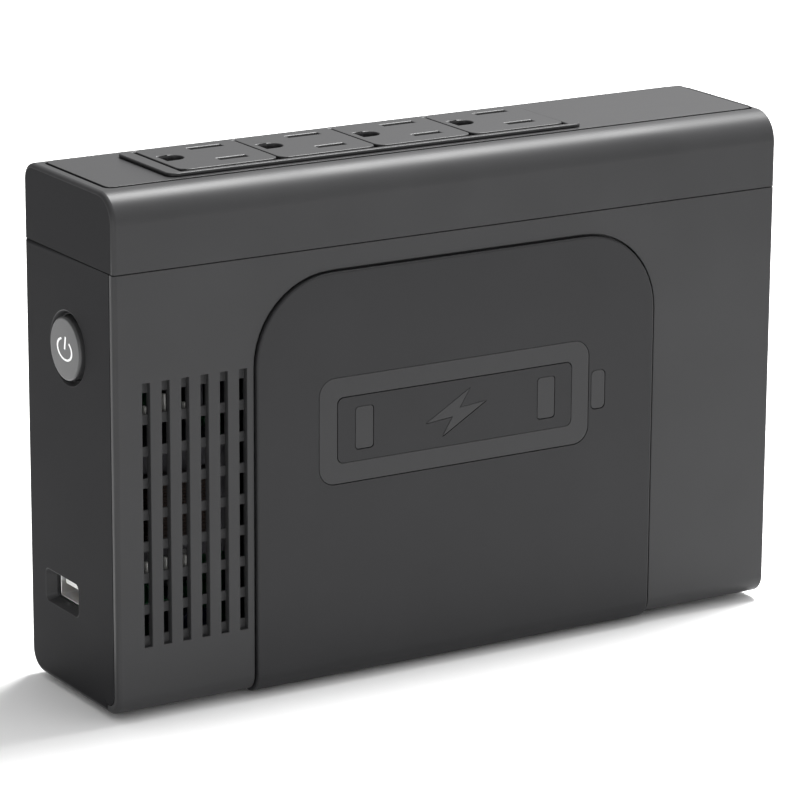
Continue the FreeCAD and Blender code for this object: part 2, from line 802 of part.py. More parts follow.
def build_cell_links():
    """Nickel strips that join neighbouring cells in series."""
    places = cell_places()
    strips = []
    top = cell_z + cell_length + 1.45
    low = cell_z - 3.45
    for index in range(cell_count - 1):
        if index % 2:
            z0, z1 = top, top + 0.3
        else:
            z0, z1 = low - 0.3, low
        strips.append(box(places[index] - 4, places[index + 1] + 4, cell_y - 3.5, cell_y + 3.5, z0, z1))
    for x in (places[0], places[-1]):
        strips.append(box(x - 4, x + 4, cell_y - 3.5, cell_y + 3.5, top, top + 0.3))
    return group(strips)


def lead_x():
    """X of both battery leads, over the edge of the protection board."""
    return cell_places()[-1] + 11.7


def build_protection_board():
    """Charge and discharge protection board beside the cells."""
    x0 = lead_x() - 0.7
    board = box(x0, x0 + 1.4, cell_y - 8.5, cell_y + 8.5, cell_z + 2.0, cell_z + 62.0)
    chips = []
    for index in range(4):
        z = cell_z + 10.0 + index * 13.0
        chips.append(box(x0 + 1.39, x0 + 2.9, cell_y - 3.0, cell_y + 3.0, z, z + 5.0))
    return fused([board] + chips)


def lead(points, radius):
    """Round wire along straight runs joined by tangent arcs."""
    nodes = [Vector(*p) for p in points]
    edges = []
    cursor = nodes[0]
    for i in range(1, len(nodes) - 1):
        into = nodes[i - 1] - nodes[i]
        out = nodes[i + 1] - nodes[i]
        run = 0.45 * min(into.Length, out.Length)
        into.normalize()
        out.normalize()
        half = into.getAngle(out) / 2
        bend = run * math.tan(half)
        inward = into + out
        inward.normalize()
        middle = nodes[i] + inward * (bend / math.sin(half) - bend)
        edges.append(Part.LineSegment(cursor, nodes[i] + into * run).toShape())
        edges.append(Part.Arc(nodes[i] + into * run, middle, nodes[i] + out * run).toShape())
        cursor = nodes[i] + out * run
    edges.append(Part.LineSegment(cursor, nodes[-1]).toShape())
    path = Part.Wire(edges)
    start = path.Edges[0]
    normal = start.tangentAt(start.FirstParameter)
    circle = Part.Wire([Part.makeCircle(radius, nodes[0], normal)])
    tube = path.makePipeShell([circle], True, False, 1)
    ratio = tube.Volume / (math.pi * radius ** 2 * path.Length)
    print("lead volume ratio %.3f" % ratio)
    return tube


def build_battery_leads():
    """Positive and negative leads from the protection board to the header on the main board."""
    x = lead_x()
    board_top = cell_z + 62.02
    leads = []
    for y_start, z_run, y_rise in ((cell_y + 1.2, base_z + 83.1, board_front - 4.8),
                                   (cell_y + 4.7, base_z + 79.9, board_front - 1.8)):
        points = [(x, y_start, board_top), (x, y_start, z_run), (x, y_rise, z_run),
                  (x, y_rise, base_z + 88.48)]
        leads.append(lead(points, 0.9))
    return group(leads)


# ---------------------------------------------------------------- inlet and breaker
def inlet_outline(width, tall, chamfer):
    """Mains inlet outline: a rectangle with two corners cut on the +Y side."""
    y0, y1 = inlet_y - width / 2, inlet_y + width / 2
    z0, z1 = inlet_z - tall / 2, inlet_z + tall / 2
    return [(y0, z0, 0.8), (y1 - chamfer, z0, 0.8), (y1, z0 + chamfer, 0.8),
            (y1, z1 - chamfer, 0.8), (y1 - chamfer, z1, 0.8), (y0, z1, 0.8)]


def build_inlet_housing():
    """Three-pin mains inlet that fills the opening in the right end, with a flange outside."""
    flange = prism(rectangle(inlet_y - 12.0, inlet_y + 12.0, inlet_z - 15.5, inlet_z + 15.5, 2.0),
                   on_yz(right), Vector(1.8, 0, 0))
    body = prism(inlet_outline(20.0, 27.4, 4.5), on_yz(right - 19.0), Vector(19.5, 0, 0))
    cavity = prism(inlet_outline(16.4, 24.0, 4.2), on_yz(right - 15.5), Vector(20, 0, 0))
    return fused([flange, body]).cut([cavity] + inlet_pin_boxes())


def inlet_pin_boxes():
    """Blades of the inlet: two in line, the earth pin offset between them."""
    blades = []
    for dy, dz in ((-2.0, -7.0), (-2.0, 7.0), (2.0, 0.0)):
        blades.append(centred_box((right - 12.5, inlet_y + dy, inlet_z + dz), (21.0, 4.0, 2.0)))
    return blades


def build_breaker_body():
    """Resettable breaker behind the right end, with its neck through the wall."""
    case = box(right - 30.0, right - wall - 0.02, -7.0, 7.0, breaker_z - 8.0, breaker_z + 8.0)
    neck = rod(5.1, (right - 3.0, 0, breaker_z), "x", 3.8)
    nut = ring(7.0, 5.0, (right, 0, breaker_z), "x", 1.6)
    bore = rod(3.3, (right - 14.0, 0, breaker_z), "x", 20)
    chamber = rod(4.4, (right - 14.0, 0, breaker_z), "x", 8.4)
    return fused([case, neck, nut]).cut([bore, chamber])


def build_breaker_button():
    """Reset button, with a shoulder that keeps it in the breaker."""
    post = rod(3.0, (right - 12.0, 0, breaker_z), "x", 14.2)

    def is_tip(edge):
        return edge.CenterOfMass.x > right + 2.1

    post = softened(post, 0.6, is_tip)
    shoulder = rod(4.1, (right - 12.0, 0, breaker_z), "x", 2.0)
    return fused([post, shoulder])


# ---------------------------------------------------------------- fasteners and feet
def pan_screw(x, z, head_y, head_radius, head_tall, shank_radius, shank):
    """Pan-head screw that enters from +Y, with a cross recess."""
    head = rod(head_radius, (x, head_y - head_tall, z), "y", head_tall)

    def is_crown(edge):
        return abs(edge.CenterOfMass.y - head_y) < 1e-3

    head = softened(head, head_tall * 0.45, is_crown)
    shaft = rod(shank_radius, (x, head_y - head_tall - shank, z), "y", shank + 0.1)
    recess = [centred_box((x, head_y, z), (head_radius * 1.1, 1.2, 0.7)),
              centred_box((x, head_y, z), (0.7, 1.2, head_radius * 1.1))]
    return fused([head, shaft]).cut(recess)


def build_shell_screws():
    """Four screws that draw the two shells together from the back."""
    return group([pan_screw(x, z, rear - 0.1, 2.7, 1.55, 1.2, 13.5) for x, z in boss_places])


def build_board_screws():
    """Four screws that hold the main board on its posts."""
    screws = []
    for x, z in board_boss_places():
        screw = pan_screw(x, z, 0, 2.4, 1.4, 1.0, 5.6)
        screw.rotate(Vector(x, 0, z), Vector(0, 0, 1), 180)
        screw.translate(Vector(0, board_front - 1.42, 0))
        screws.append(screw)
    return group(screws)


def build_rubber_feet():
    """Four round feet under the floor."""
    feet = []
    for x in (left + 24.0, right - 24.0):
        for y in (front + 13.2, rear - 10.5):
            foot = rod(4.5, (x, y, 0), "z", foot_height - 0.01)
            feet.append(foot)
    return group(feet)


# ---------------------------------------------------------------- all nodes
def build_all():
    """Every named node of the assembly."""
    core, winding, strap = build_transformer()
    nodes = {
        "front_shell": build_front_shell(),
        "rear_shell": build_rear_shell(),
        "top_cover": build_top_cover(),
        "top_plate": build_top_plate(),
        "outlet_strip": build_outlet_strip(),
        "outlet_base": build_outlet_base(),
        "outlet_base_cover": build_outlet_base_cover(),
        "neutral_contact_bar": build_contact_bar(ground_to_blades, blade_spacing / 2, 4.2),
        "hot_contact_bar": build_contact_bar(ground_to_blades, -blade_spacing / 2, 3.6),
        "ground_contact_bar": build_contact_bar(0.0, 0.0, 2.0),
        "power_button": build_power_button(),
        "power_icon": group(power_icon_solids(0.3)),
        "control_board": build_control_board(),
        "lead_combs": build_lead_combs(),
        "switch_body": build_switch_body(),
        "switch_plunger": build_switch_plunger(),
        "usb_shell": build_usb_shell(),
        "usb_tongue": build_usb_tongue(),
        "usb_contacts": build_usb_contacts(),
        "usb_board": build_usb_board(),
        "front_panel": build_front_panel(),
        "front_emblem": group(emblem_solids(0.0, 0.5)),
        "main_board": build_main_board(),
        "transformer_core": core,
        "transformer_winding": winding,
        "transformer_strap": strap,
        "heatsink": build_heatsink(),
        "power_transistors": build_transistors(),
        "capacitors": build_capacitors(),
        "transfer_relays": build_relays(),
        "buzzer": build_buzzer(),
        "battery_connector": build_battery_connector(),
        "battery_tray": build_battery_tray(),
        "battery_cells": build_battery_cells(),
        "cell_holders": build_cell_holders(),
        "cell_links": build_cell_links(),
        "protection_board": build_protection_board(),
        "battery_leads": build_battery_leads(),
        "inlet_housing": build_inlet_housing(),
        "inlet_pins": group(inlet_pin_boxes()),
        "breaker_body": build_breaker_body(),
        "breaker_button": build_breaker_button(),
        "shell_screws": build_shell_screws(),
        "board_screws": build_board_screws(),
        "rubber_feet": build_rubber_feet(),
    }
    for index in range(tile_count):
        nodes["outlet_face_%d" % (index + 1)] = build_outlet_face(index)
    return nodes


for name, shape in build_all().items():
    shape.exportStep("parts/%s.step" % name)
    print("%-22s solids %d valid %s volume %.1f" % (name, len(shape.Solids), shape.isValid(), shape.Volume))
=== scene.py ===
"""Looks of a slim uninterruptible power supply, built round its packed frame."""

import math

import bmesh
import bpy
from bpy.props import FloatProperty, FloatVectorProperty, PointerProperty
from mathutils import Matrix, Vector


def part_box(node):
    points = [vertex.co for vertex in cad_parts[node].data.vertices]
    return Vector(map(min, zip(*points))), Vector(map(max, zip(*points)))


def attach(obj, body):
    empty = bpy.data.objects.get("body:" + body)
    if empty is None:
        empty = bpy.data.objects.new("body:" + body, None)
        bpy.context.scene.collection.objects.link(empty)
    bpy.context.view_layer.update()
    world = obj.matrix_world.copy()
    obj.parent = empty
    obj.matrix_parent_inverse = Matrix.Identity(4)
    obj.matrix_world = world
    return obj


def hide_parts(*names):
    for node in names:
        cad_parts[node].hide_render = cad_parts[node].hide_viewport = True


bl_info = {
    "name": "Slim Uninterruptible Power Supply",
    "version": (1, 0, 0),
    "blender": (4, 5, 0),
    "location": "View3D > Sidebar > Power Supply",
    "description": "Models the casing, panel, outlets, ports and inner parts of a power supply",
    "category": "Object",
}

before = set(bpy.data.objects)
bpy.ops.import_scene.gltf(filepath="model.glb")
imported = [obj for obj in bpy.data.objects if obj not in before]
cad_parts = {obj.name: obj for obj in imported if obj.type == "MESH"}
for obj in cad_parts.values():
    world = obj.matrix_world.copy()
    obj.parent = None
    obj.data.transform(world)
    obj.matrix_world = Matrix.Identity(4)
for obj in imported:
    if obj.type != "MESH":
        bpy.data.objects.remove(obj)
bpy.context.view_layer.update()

MM = 0.001
ARC = 12
VERT, EDGE, FACE = bmesh.types.BMVert, bmesh.types.BMEdge, bmesh.types.BMFace


# ---------------------------------------------------------------- places read from the frame
def span(node):
    """Lowest and highest corner of a node, in millimetres."""
    low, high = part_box(node)
    return low / MM, high / MM


def middle_of(node):
    """Centre of a node's box, in millimetres."""
    return tuple((low + high) / 2 for low, high in zip(*span(node)))


def same(a, b):
    """True where two places lie within a thousandth of a millimetre."""
    return abs(a - b) < 1e-3


shell_low, shell_high = span("front_shell")
panel_low, panel_high = span("front_panel")
plate_low, plate_high = span("top_plate")
strip_low, strip_high = span("outlet_strip")
LEFT, RIGHT = shell_low.x, shell_high.x
FRONT, REAR = shell_low.y, span("rear_shell")[1].y
BASE, TOP = shell_low.z, span("top_cover")[1].z
SHELL_TOP = shell_high.z
COVER_FOOT = SHELL_TOP + 0.2
CORNER = 4.6  # radius of the lower front edge
RIM = 1.5  # strip of plain faces along each end, which the wide bevel runs on
PANEL_REACH = FRONT + 5.0  # how far back the panel wraps under the casing,
SHELL_REACH = FRONT + 5.4  # how far the front shell does,
REAR_LIP = FRONT + 5.6  # and where the floor of the rear shell starts
DOOR_LEFT, DOOR_RIGHT = LEFT + 42.0, LEFT + 136.0
DOOR_FOOT, DOOR_TOP = BASE + 10.0, BASE + 86.0
_, BUTTON_Y, BUTTON_Z = middle_of("power_button")
SCREWS = [(x, z) for x in (LEFT + 6.2, RIGHT - 6.2) for z in (BASE + 8.5, BASE + 94.0)]


# ---------------------------------------------------------------- sizes and colours to change
def length(label, note, default_mm, top_mm=50.0):
    return FloatProperty(name=label, description=note, default=default_mm * MM, min=0.0,
                         max=top_mm * MM, unit="LENGTH", precision=5)


def colour(label, note, default):
    return FloatVectorProperty(name=label, description=note, default=default, size=3, min=0.0,
                               max=1.0, subtype="COLOR")


def share(label, note, default):
    return FloatProperty(name=label, description=note, default=default, min=0.0, max=1.0,
                         subtype="FACTOR")


def strength(label, note, default, top):
    return FloatProperty(name=label, description=note, default=default, min=0.0, max=top)


class UPS_PG_casing(bpy.types.PropertyGroup):
    """Moulded casing of the power supply."""
    wall: length("Wall", "Thickness of the moulded walls", 2.0)
    front_top_radius: length("Front Top Radius", "Rounding along the upper front edge", 7.0)
    rear_top_radius: length("Rear Top Radius", "Rounding along the upper rear edge", 4.1)
    rear_bottom_radius: length("Rear Bottom Radius", "Rounding along the lower rear edge", 5.0)
    left_round: length("Left End Rounding", "Rounding of the outline at the button end", 1.0)
    right_round: length("Right End Rounding", "Rounding of the outline at the inlet end", 0.5)
    crisp: length("Crisp Edges", "Small rounding on every other moulded edge", 0.12)
    dark: colour("Casing Colour", "Charcoal of the casing", (0.030, 0.030, 0.031))
    # The end colour is painted shade: a darker copy of the casing charcoal for the faces that face
    # ±X, so the ends read as the shaded side.
    ends: colour("End Colour", "Charcoal of the duller ends", (0.017, 0.017, 0.018))
    roughness: share("Roughness", "Satin finish of the casing", 0.42)
    gloss: share("Gloss", "Strength of the casing's reflections", 0.17)
    grain: share("Grain", "Depth of the moulded texture", 0.12)


class UPS_PG_vents(bpy.types.PropertyGroup):
    """Vent grid beside the panel."""
    first: length("First Column", "From the button end to the first slot's middle", 7.8)
    pitch: length("Column Pitch", "Distance between neighbouring slots", 4.88)
    width: length("Slot Width", "Width of one slot", 2.0)
    depth: length("Slot Depth", "Depth of a slot down to its ribs", 1.4)
    bottom: length("Slot Bottom", "Height of the slots' lower ends above the casing's base", 15.7)
    height: length("Slot Height", "Length of one slot", 61.0, 100.0)
    window_first: length("First Window", "Height of the lowest opening above the base", 17.95)
    window: length("Window Height", "Height of one opening between ribs", 4.95)
    row_pitch: length("Row Pitch", "Distance between neighbouring openings", 7.32)


class UPS_PG_panel(bpy.types.PropertyGroup):
    """Removable front panel and its emblem."""
    corner: length("Corner Radius", "Radius of the panel's two upper corners", 19.5)
    groove: length("Groove", "Gap between the panel and the casing", 0.5)
    seat: length("Seat Depth", "How deep the casing is let in behind the panel", 1.3)
    skin: length("Skin", "Thickness of the panel", 1.7)
    edge: length("Edge Rounding", "Rounding of the panel's rim", 0.45)
    dark: colour("Panel Colour", "Charcoal of the panel", (0.019, 0.019, 0.020))
    emblem: colour("Emblem Colour", "Satin grey of the emblem", (0.019, 0.019, 0.020))


class UPS_PG_top(bpy.types.PropertyGroup):
    """Top plate and outlets."""
    plate_gap: length("Plate Gap", "Gap round the top plate", 0.6)
    plate_corner: length("Plate Corner", "Radius of the top plate's corners", 1.5)
    tile_round: length("Tile Edge", "Rounding of the outlet faces' edges", 0.15)
    # Plate and outlet colours are painted shade: darker copies of the casing charcoal that offset
    # the key light falling on the top.
    plate: colour("Plate Colour", "Charcoal of the top plate", (0.015, 0.015, 0.016))
    outlets: colour("Outlet Colour", "Charcoal of the outlet faces", (0.015, 0.015, 0.016))


class UPS_PG_stage(bpy.types.PropertyGroup):
    """Floor, lights and camera."""
    floor: colour("Floor Colour", "Pale floor", (0.93, 0.93, 0.93))
    surround: strength("Surround", "Brightness of the plain surroundings", 0.9, 5.0)
    key: strength("Key Light", "Power of the soft light above, in watts", 22.0, 100.0)
    edge: strength("Edge Light", "Power of the low light off the near corner, in watts", 1.2, 100.0)


# ---------------------------------------------------------------- flat outlines and sheets
def add_outline(bm, corners, segments=ARC):
    """Flat face through (u, v) or (u, v, radius) corners, rounded where a radius is given."""
    verts = [bm.verts.new((corner[0], corner[1], 0.0)) for corner in corners]
    bm.faces.new(verts)
    for vert, corner in zip(verts, corners):
        if len(corner) > 2 and corner[2] > 0.0:
            bmesh.ops.bevel(bm, geom=[vert], offset=corner[2], offset_type="OFFSET",
                            segments=segments, profile=0.5, affect="VERTICES", material=-1)


def rectangle(u0, u1, v0, v1, radius=0.0):
    return [(u0, v0, radius), (u1, v0, radius), (u1, v1, radius), (u0, v1, radius)]


def disc(u, v, radius, segments=48):
    """Marks a round outline for flat_sheet."""
    return {"centre": (u, v), "radius": radius, "segments": segments}


def face_up(bm):
    bm.normal_update()
    bmesh.ops.reverse_faces(bm, faces=[face for face in bm.faces if face.normal.z < 0])
    return bm


def flat_sheet(outer, *holes, segments=ARC):
    """Flat sheet facing +Z inside the outer outline, with openings."""
    bm = bmesh.new()
    for shape in (outer,) + holes:
        if isinstance(shape, dict):
            bmesh.ops.create_circle(bm, cap_ends=True, segments=shape["segments"],
                                    radius=shape["radius"],
                                    matrix=Matrix.Translation((*shape["centre"], 0.0)))
        else:
            add_outline(bm, shape, segments)
    if holes:
        bmesh.ops.delete(bm, geom=bm.faces[:], context="FACES_ONLY")
        bmesh.ops.triangle_fill(bm, use_beauty=True, edges=bm.edges[:])
    return face_up(bm)


def guarded_sheet(outer, *holes, segments=ARC):
    """Flat sheet with openings whose outer rim is a ring of quads, so a wide bevel runs clean."""
    bm = flat_sheet(outer, segments=segments)
    field = bm.faces[:]
    bmesh.ops.inset_individual(bm, faces=field, thickness=RIM, use_even_offset=True)
    edges = list(field[0].edges)
    bmesh.ops.delete(bm, geom=field, context="FACES_ONLY")
    known = set(bm.edges)
    for shape in holes:
        absorb(bm, flat_sheet(shape, segments=segments))
    added = [edge for edge in bm.edges if edge not in known]
    bmesh.ops.delete(bm, geom=list({face for edge in added for face in edge.link_faces}),
                     context="FACES_ONLY")
    bmesh.ops.triangle_fill(bm, use_beauty=True, edges=edges + added)
    return face_up(bm)


def lay(bm, facing, at):
    """Turn a flat sheet so that it faces an axis, and move it along that axis."""
    if facing[1] == "y":
        turn, shift = Matrix.Rotation(math.pi / 2, 4, "X"), (0, at, 0)
    elif facing[1] == "x":
        turn, shift = Matrix(((0, 0, 1, 0), (1, 0, 0, 0), (0, 1, 0, 0), (0, 0, 0, 1))), (at, 0, 0)
    else:
        turn, shift = Matrix.Identity(4), (0, 0, at)
    bmesh.ops.transform(bm, matrix=Matrix.Translation(shift) @ turn, verts=bm.verts[:])
    if facing in ("+y", "-x", "-z"):
        bmesh.ops.reverse_faces(bm, faces=bm.faces[:])
    return bm


def absorb(bm, part):
    """Add the mesh of a part, and free the part."""
    mesh = bpy.data.meshes.new("part")
    part.to_mesh(mesh)
    part.free()
    bm.from_mesh(mesh)
    bpy.data.meshes.remove(mesh)


def joined(*parts):
    """One mesh from several, with coincident corners merged."""
    whole = bmesh.new()
    for part in parts:
        absorb(whole, part)
    merge(whole)
    return whole


def merge(bm):
    bmesh.ops.remove_doubles(bm, verts=bm.verts[:], dist=0.004)


def those(geom, kind):
    return [item for item in geom if isinstance(item, kind)]


def open_edges(bm, test):
    """Boundary edges whose two ends both pass the test."""
    return [edge for edge in bm.edges
            if edge.is_boundary and test(edge.verts[0].co) and test(edge.verts[1].co)]


def pull(bm, edges, vector, scale=None, centre=None):
    """Extrude open edges along a vector, optionally scaling the new rim about a centre."""
    pulled = bmesh.ops.extrude_edge_only(bm, edges=edges)["geom"]
    verts = those(pulled, VERT)
    bmesh.ops.translate(bm, vec=vector, verts=verts)
    if scale is not None:
        bmesh.ops.scale(bm, vec=scale, verts=verts, space=Matrix.Translation(-Vector(centre)))
    return [edge for edge in those(pulled, EDGE)
            if edge.verts[0] in verts and edge.verts[1] in verts]


def carve(bm, edges, centre, *steps):
    """Pull the rim of an opening through (vector, scale) steps."""
    for vector, scale in steps:
        edges = pull(bm, edges, vector, scale, centre)


def sweep(bm, edges, middle_y, middle_z, angle):
    """Turn open edges about a line along X, which makes a rounded corner."""
    result = bmesh.ops.spin(bm, geom=edges, cent=(0, middle_y, middle_z), axis=(1, 0, 0),
                            angle=angle, steps=ARC)
    return those(result["geom_last"], EDGE)


def turn_about_x(bm, angle):
    bmesh.ops.rotate(bm, cent=(0, 0, 0), matrix=Matrix.Rotation(angle, 3, "X"), verts=bm.verts[:])


def side_strips(facing, at, foot):
    """Plain strips beside both ends, from a foot up to the top of the shells."""
    return [lay(flat_sheet(rectangle(x, x + RIM, foot, SHELL_TOP)), facing, at)
            for x in (LEFT, RIGHT - RIM)]


def face_outwards(bm):
    """Make the faces agree, then point them away from the middle."""
    bmesh.ops.recalc_face_normals(bm, faces=bm.faces[:])
    middle = sum((vert.co for vert in bm.verts), Vector()) / len(bm.verts)
    away = sum((face.calc_center_median() - middle).dot(face.normal) * face.calc_area()
               for face in bm.faces)
    if away < 0:
        bmesh.ops.reverse_faces(bm, faces=bm.faces[:])


def block(low, high, bevel=0.2, segments=2):
    """Box between two corners with every edge rounded."""
    bm = bmesh.new()
    low, high = Vector(low), Vector(high)
    bmesh.ops.create_cube(bm, size=1.0, matrix=Matrix.Translation((low + high) / 2) @
                          Matrix.Diagonal((*(high - low), 1.0)))
    bmesh.ops.bevel(bm, geom=bm.edges[:], offset=bevel, offset_type="OFFSET", segments=segments,
                    profile=0.5, affect="EDGES", material=-1)
    return bm


def turned(corners, centre, axis, steps=48, segments=4):
    """Round part from (along, radius, rounding) corners, spun about an axis through the centre."""
    bm = bmesh.new()
    add_outline(bm, corners, segments)
    bmesh.ops.delete(bm, geom=bm.faces[:], context="FACES_ONLY")
    on_axis = [edge for edge in bm.edges if all(abs(vert.co.y) < 1e-6 for vert in edge.verts)]
    bmesh.ops.delete(bm, geom=on_axis, context="EDGES")
    bmesh.ops.spin(bm, geom=bm.edges[:], cent=(0, 0, 0), axis=(1, 0, 0), angle=math.tau,
                   steps=steps, use_merge=True)
    merge(bm)
    face_outwards(bm)
    turn = {"x": Matrix.Identity(4), "z": Matrix.Rotation(-math.pi / 2, 4, "Y"),
            "y": Matrix.Rotation(math.pi / 2, 4, "Z"),
            "-y": Matrix.Rotation(-math.pi / 2, 4, "Z")}[axis]
    bmesh.ops.transform(bm, matrix=Matrix.Translation(centre) @ turn, verts=bm.verts[:])
    return bm


def weigh(bm, test, weight):
    """Mark the edges that pass the test for the wide Bevel modifier."""
    layers = bm.edges.layers.float
    layer = layers.get("bevel_weight_edge") or layers.new("bevel_weight_edge")
    for edge in bm.edges:
        if test(edge):
            edge[layer] = weight


def round_ends(bm, on_skin=lambda co: True):
    """Weigh the outline of each end by its own rounding, where both corners are on the skin."""
    casing = bpy.context.scene.ups_casing
    for x, weight in ((LEFT, casing.left_round / MM), (RIGHT, casing.right_round / MM)):
        weigh(bm, lambda edge: edge.calc_face_angle(0.0) > 0.5 and
              all(same(v.co.x, x) and on_skin(v.co) for v in edge.verts), weight)


def add_wall(piece, wall, even):
    if wall:
        shell = piece.modifiers.new("Wall", "SOLIDIFY")
        shell.thickness = wall * MM
        shell.offset = -1.0
        shell.use_even_offset = even


def add_rounding(piece, width, limit):
    """Bevel modifier for the marked edges (WEIGHT) or for every sharp edge (ANGLE)."""
    if width:
        bevel = piece.modifiers.new("Wide Edges" if limit == "WEIGHT" else "Crisp Edges", "BEVEL")
        bevel.width = width * MM
        bevel.segments = 4 if limit == "WEIGHT" else 2
        bevel.limit_method = limit
        bevel.angle_limit = math.radians(40)
        bevel.use_clamp_overlap = False
        bevel.material = 0


def add_object(name, data):
    thing = bpy.data.objects.new(name, data)
    bpy.context.scene.collection.objects.link(thing)
    return thing


def finish_piece(name, bm, material, node=None, body="casing", wall=0.0, wide=0.0, crisp=0.0,
                 ends=None):
    """Turn millimetres into metres, make the object, and hang it on its body in place of its node.

    A piece with a material for its ends is rounded before it gets its wall, because its bevels
    are wider than the folds of an inner wall allow. That material paints shade onto the ends.
    """
    bmesh.ops.scale(bm, vec=(MM, MM, MM), verts=bm.verts[:])
    bm.edges.index_update()
    rims = [edge.index for edge in bm.edges if edge.is_boundary]
    mesh = bpy.data.meshes.new(name)
    bm.to_mesh(mesh)
    bm.free()
    mesh.shade_smooth()
    mesh.set_sharp_from_angle(angle=math.radians(32.0))
    for index in rims:
        mesh.edges[index].use_edge_sharp = True
    mesh.materials.append(material)
    piece = add_object(name, mesh)
    if ends:
        # Every face that faces ±X gets the ends' material, which paints shade onto the ends.
        mesh.materials.append(ends)
        for face in mesh.polygons:
            face.material_index = 1 if abs(face.normal.x) > 0.9 else 0
    else:
        add_wall(piece, wall, True)
    add_rounding(piece, wide, "WEIGHT")
    add_rounding(piece, crisp, "ANGLE")
    if ends:
        add_wall(piece, wall, False)
    even = piece.modifiers.new("Even Shading", "WEIGHTED_NORMAL")
    even.keep_sharp = True
    even.weight = 100
    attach(piece, body)
    if node:
        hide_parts(node)
    return piece


# ---------------------------------------------------------------- finishes
def wire(node, inputs):
    """Set each named input of a shader node, or link it where a socket is given."""
    for key, value in inputs.items():
        if isinstance(value, bpy.types.NodeSocket):
            node.id_data.links.new(value, node.inputs[key])
        else:
            node.inputs[key].default_value = value
    return node


def add_node(shader, kind, inputs):
    """New node in the tree that a shader is in."""
    return wire(shader.id_data.nodes.new("ShaderNode" + kind), inputs)


def finish_nodes(name):
    """Material, and for a new one its shader and its object coordinates."""
    material = bpy.data.materials.get(name)
    if material:
        return material, None, None
    material = bpy.data.materials.new(name)
    material.use_nodes = True
    shader = material.node_tree.nodes["Principled BSDF"]
    return material, shader, add_node(shader, "TexCoord", {}).outputs["Object"]


def noise(shader, vector, scale, detail=3.0, stretch=None):
    """Noise pattern; scale counts cells per metre."""
    if stretch:
        vector = add_node(shader, "Mapping", {"Vector": vector, "Scale": stretch}).outputs[0]
    return add_node(shader, "TexNoise",
                    {"Vector": vector, "Scale": scale, "Detail": detail}).outputs["Fac"]


def vary_colour(shader, fac, base, spread):
    """Base colour that drifts a little lighter and darker."""
    ramp = add_node(shader, "ValToRGB", {"Fac": fac})
    for stop, place, tone in zip(ramp.color_ramp.elements, (0.3, 0.7), (1 - spread, 1 + spread)):
        stop.position = place
        stop.color = [min(c * tone, 1.0) for c in base] + [1]
    wire(shader, {"Base Color": ramp.outputs["Color"]})


def vary_roughness(shader, fac, low, high):
    wire(shader, {"Roughness": add_node(shader, "MapRange", {
        "Value": fac, "From Min": 0.3, "From Max": 0.7, "To Min": low,
        "To Max": high}).outputs["Result"]})


def add_bump(shader, height, strength, distance):
    wire(shader, {"Normal": add_node(shader, "Bump", {
        "Height": height, "Strength": strength, "Distance": distance}).outputs["Normal"]})


def moulded_plastic(name, base, roughness=0.42, grain=0.12, spread=0.06, gloss=0.5):
    """Injection-moulded plastic: fine spark-eroded grain with a slow drift of tone and sheen."""
    material, shader, place = finish_nodes(name)
    if shader:
        slow = noise(shader, place, 45.0, 2.0)
        vary_colour(shader, slow, base, spread)
        vary_roughness(shader, slow, roughness - 0.02, roughness + 0.03)
        add_bump(shader, noise(shader, place, 5200.0, 2.0), grain, 0.00006)
        wire(shader, {"Specular IOR Level": gloss})
    return material


def rolled_metal(name, base, roughness=0.28, stretch=(1.0, 1.0, 30.0)):
    """Sheet metal with fine rolling lines."""
    material, shader, place = finish_nodes(name)
    if shader:
        lines = noise(shader, place, 260.0, 4.0, stretch)
        vary_colour(shader, noise(shader, place, 90.0), base, 0.08)
        vary_roughness(shader, lines, roughness - 0.07, roughness + 0.12)
        add_bump(shader, lines, 0.12, 0.00004)
        wire(shader, {"Metallic": 1.0})
    return material


def solder_mask():
    """Board coating with copper traces that show through as slightly raised, lighter lines."""
    material, shader, place = finish_nodes("solder mask")
    if shader:
        upright = add_node(shader, "Mapping", {"Vector": place, "Rotation": (math.pi / 2, 0, 0)})
        traces = add_node(shader, "TexBrick", {
            "Vector": upright.outputs["Vector"], "Scale": 120.0, "Mortar Size": 0.09,
            "Color1": (0.012, 0.075, 0.034, 1), "Color2": (0.010, 0.060, 0.028, 1),
            "Mortar": (0.030, 0.150, 0.060, 1)})
        wire(shader, {"Base Color": traces.outputs["Color"]})
        vary_roughness(shader, noise(shader, place, 300.0), 0.30, 0.42)
        add_bump(shader, traces.outputs["Fac"], 0.25, 0.00004)
    return material


def ridged_metal(name, axis, scale, distortion, base, spread, clouds, rough, bump, metallic):
    """Metal in close ridges along an axis: turns of wire, or the edges of stacked sheets."""
    material, shader, place = finish_nodes(name)
    if shader:
        ridges = add_node(shader, "TexWave",
                          {"Vector": place, "Scale": scale, "Distortion": distortion})
        ridges.bands_direction = axis
        vary_colour(shader, ridges.outputs["Fac"], base, spread)
        vary_roughness(shader, noise(shader, place, clouds), *rough)
        add_bump(shader, ridges.outputs["Fac"], *bump)
        wire(shader, {"Metallic": metallic})
    return material


def soft_rubber(name):
    material, shader, place = finish_nodes(name)
    if shader:
        fine = noise(shader, place, 2600.0)
        vary_colour(shader, noise(shader, place, 120.0), (0.016, 0.016, 0.016), 0.15)
        vary_roughness(shader, fine, 0.72, 0.85)
        add_bump(shader, fine, 0.35, 0.0001)
    return material


def casing_plastic():
    casing = bpy.context.scene.ups_casing
    return moulded_plastic("casing plastic", casing.dark, casing.roughness, casing.grain,
                           gloss=casing.gloss)


def painted_shade_end_plastic():
    """Painted shade on the two ends: a darker copy of the casing charcoal, with a coarser grain and
    duller gloss.
    """
    return moulded_plastic("end plastic with painted shade", bpy.context.scene.ups_casing.ends, 0.55, 0.2,
                           gloss=0.03)


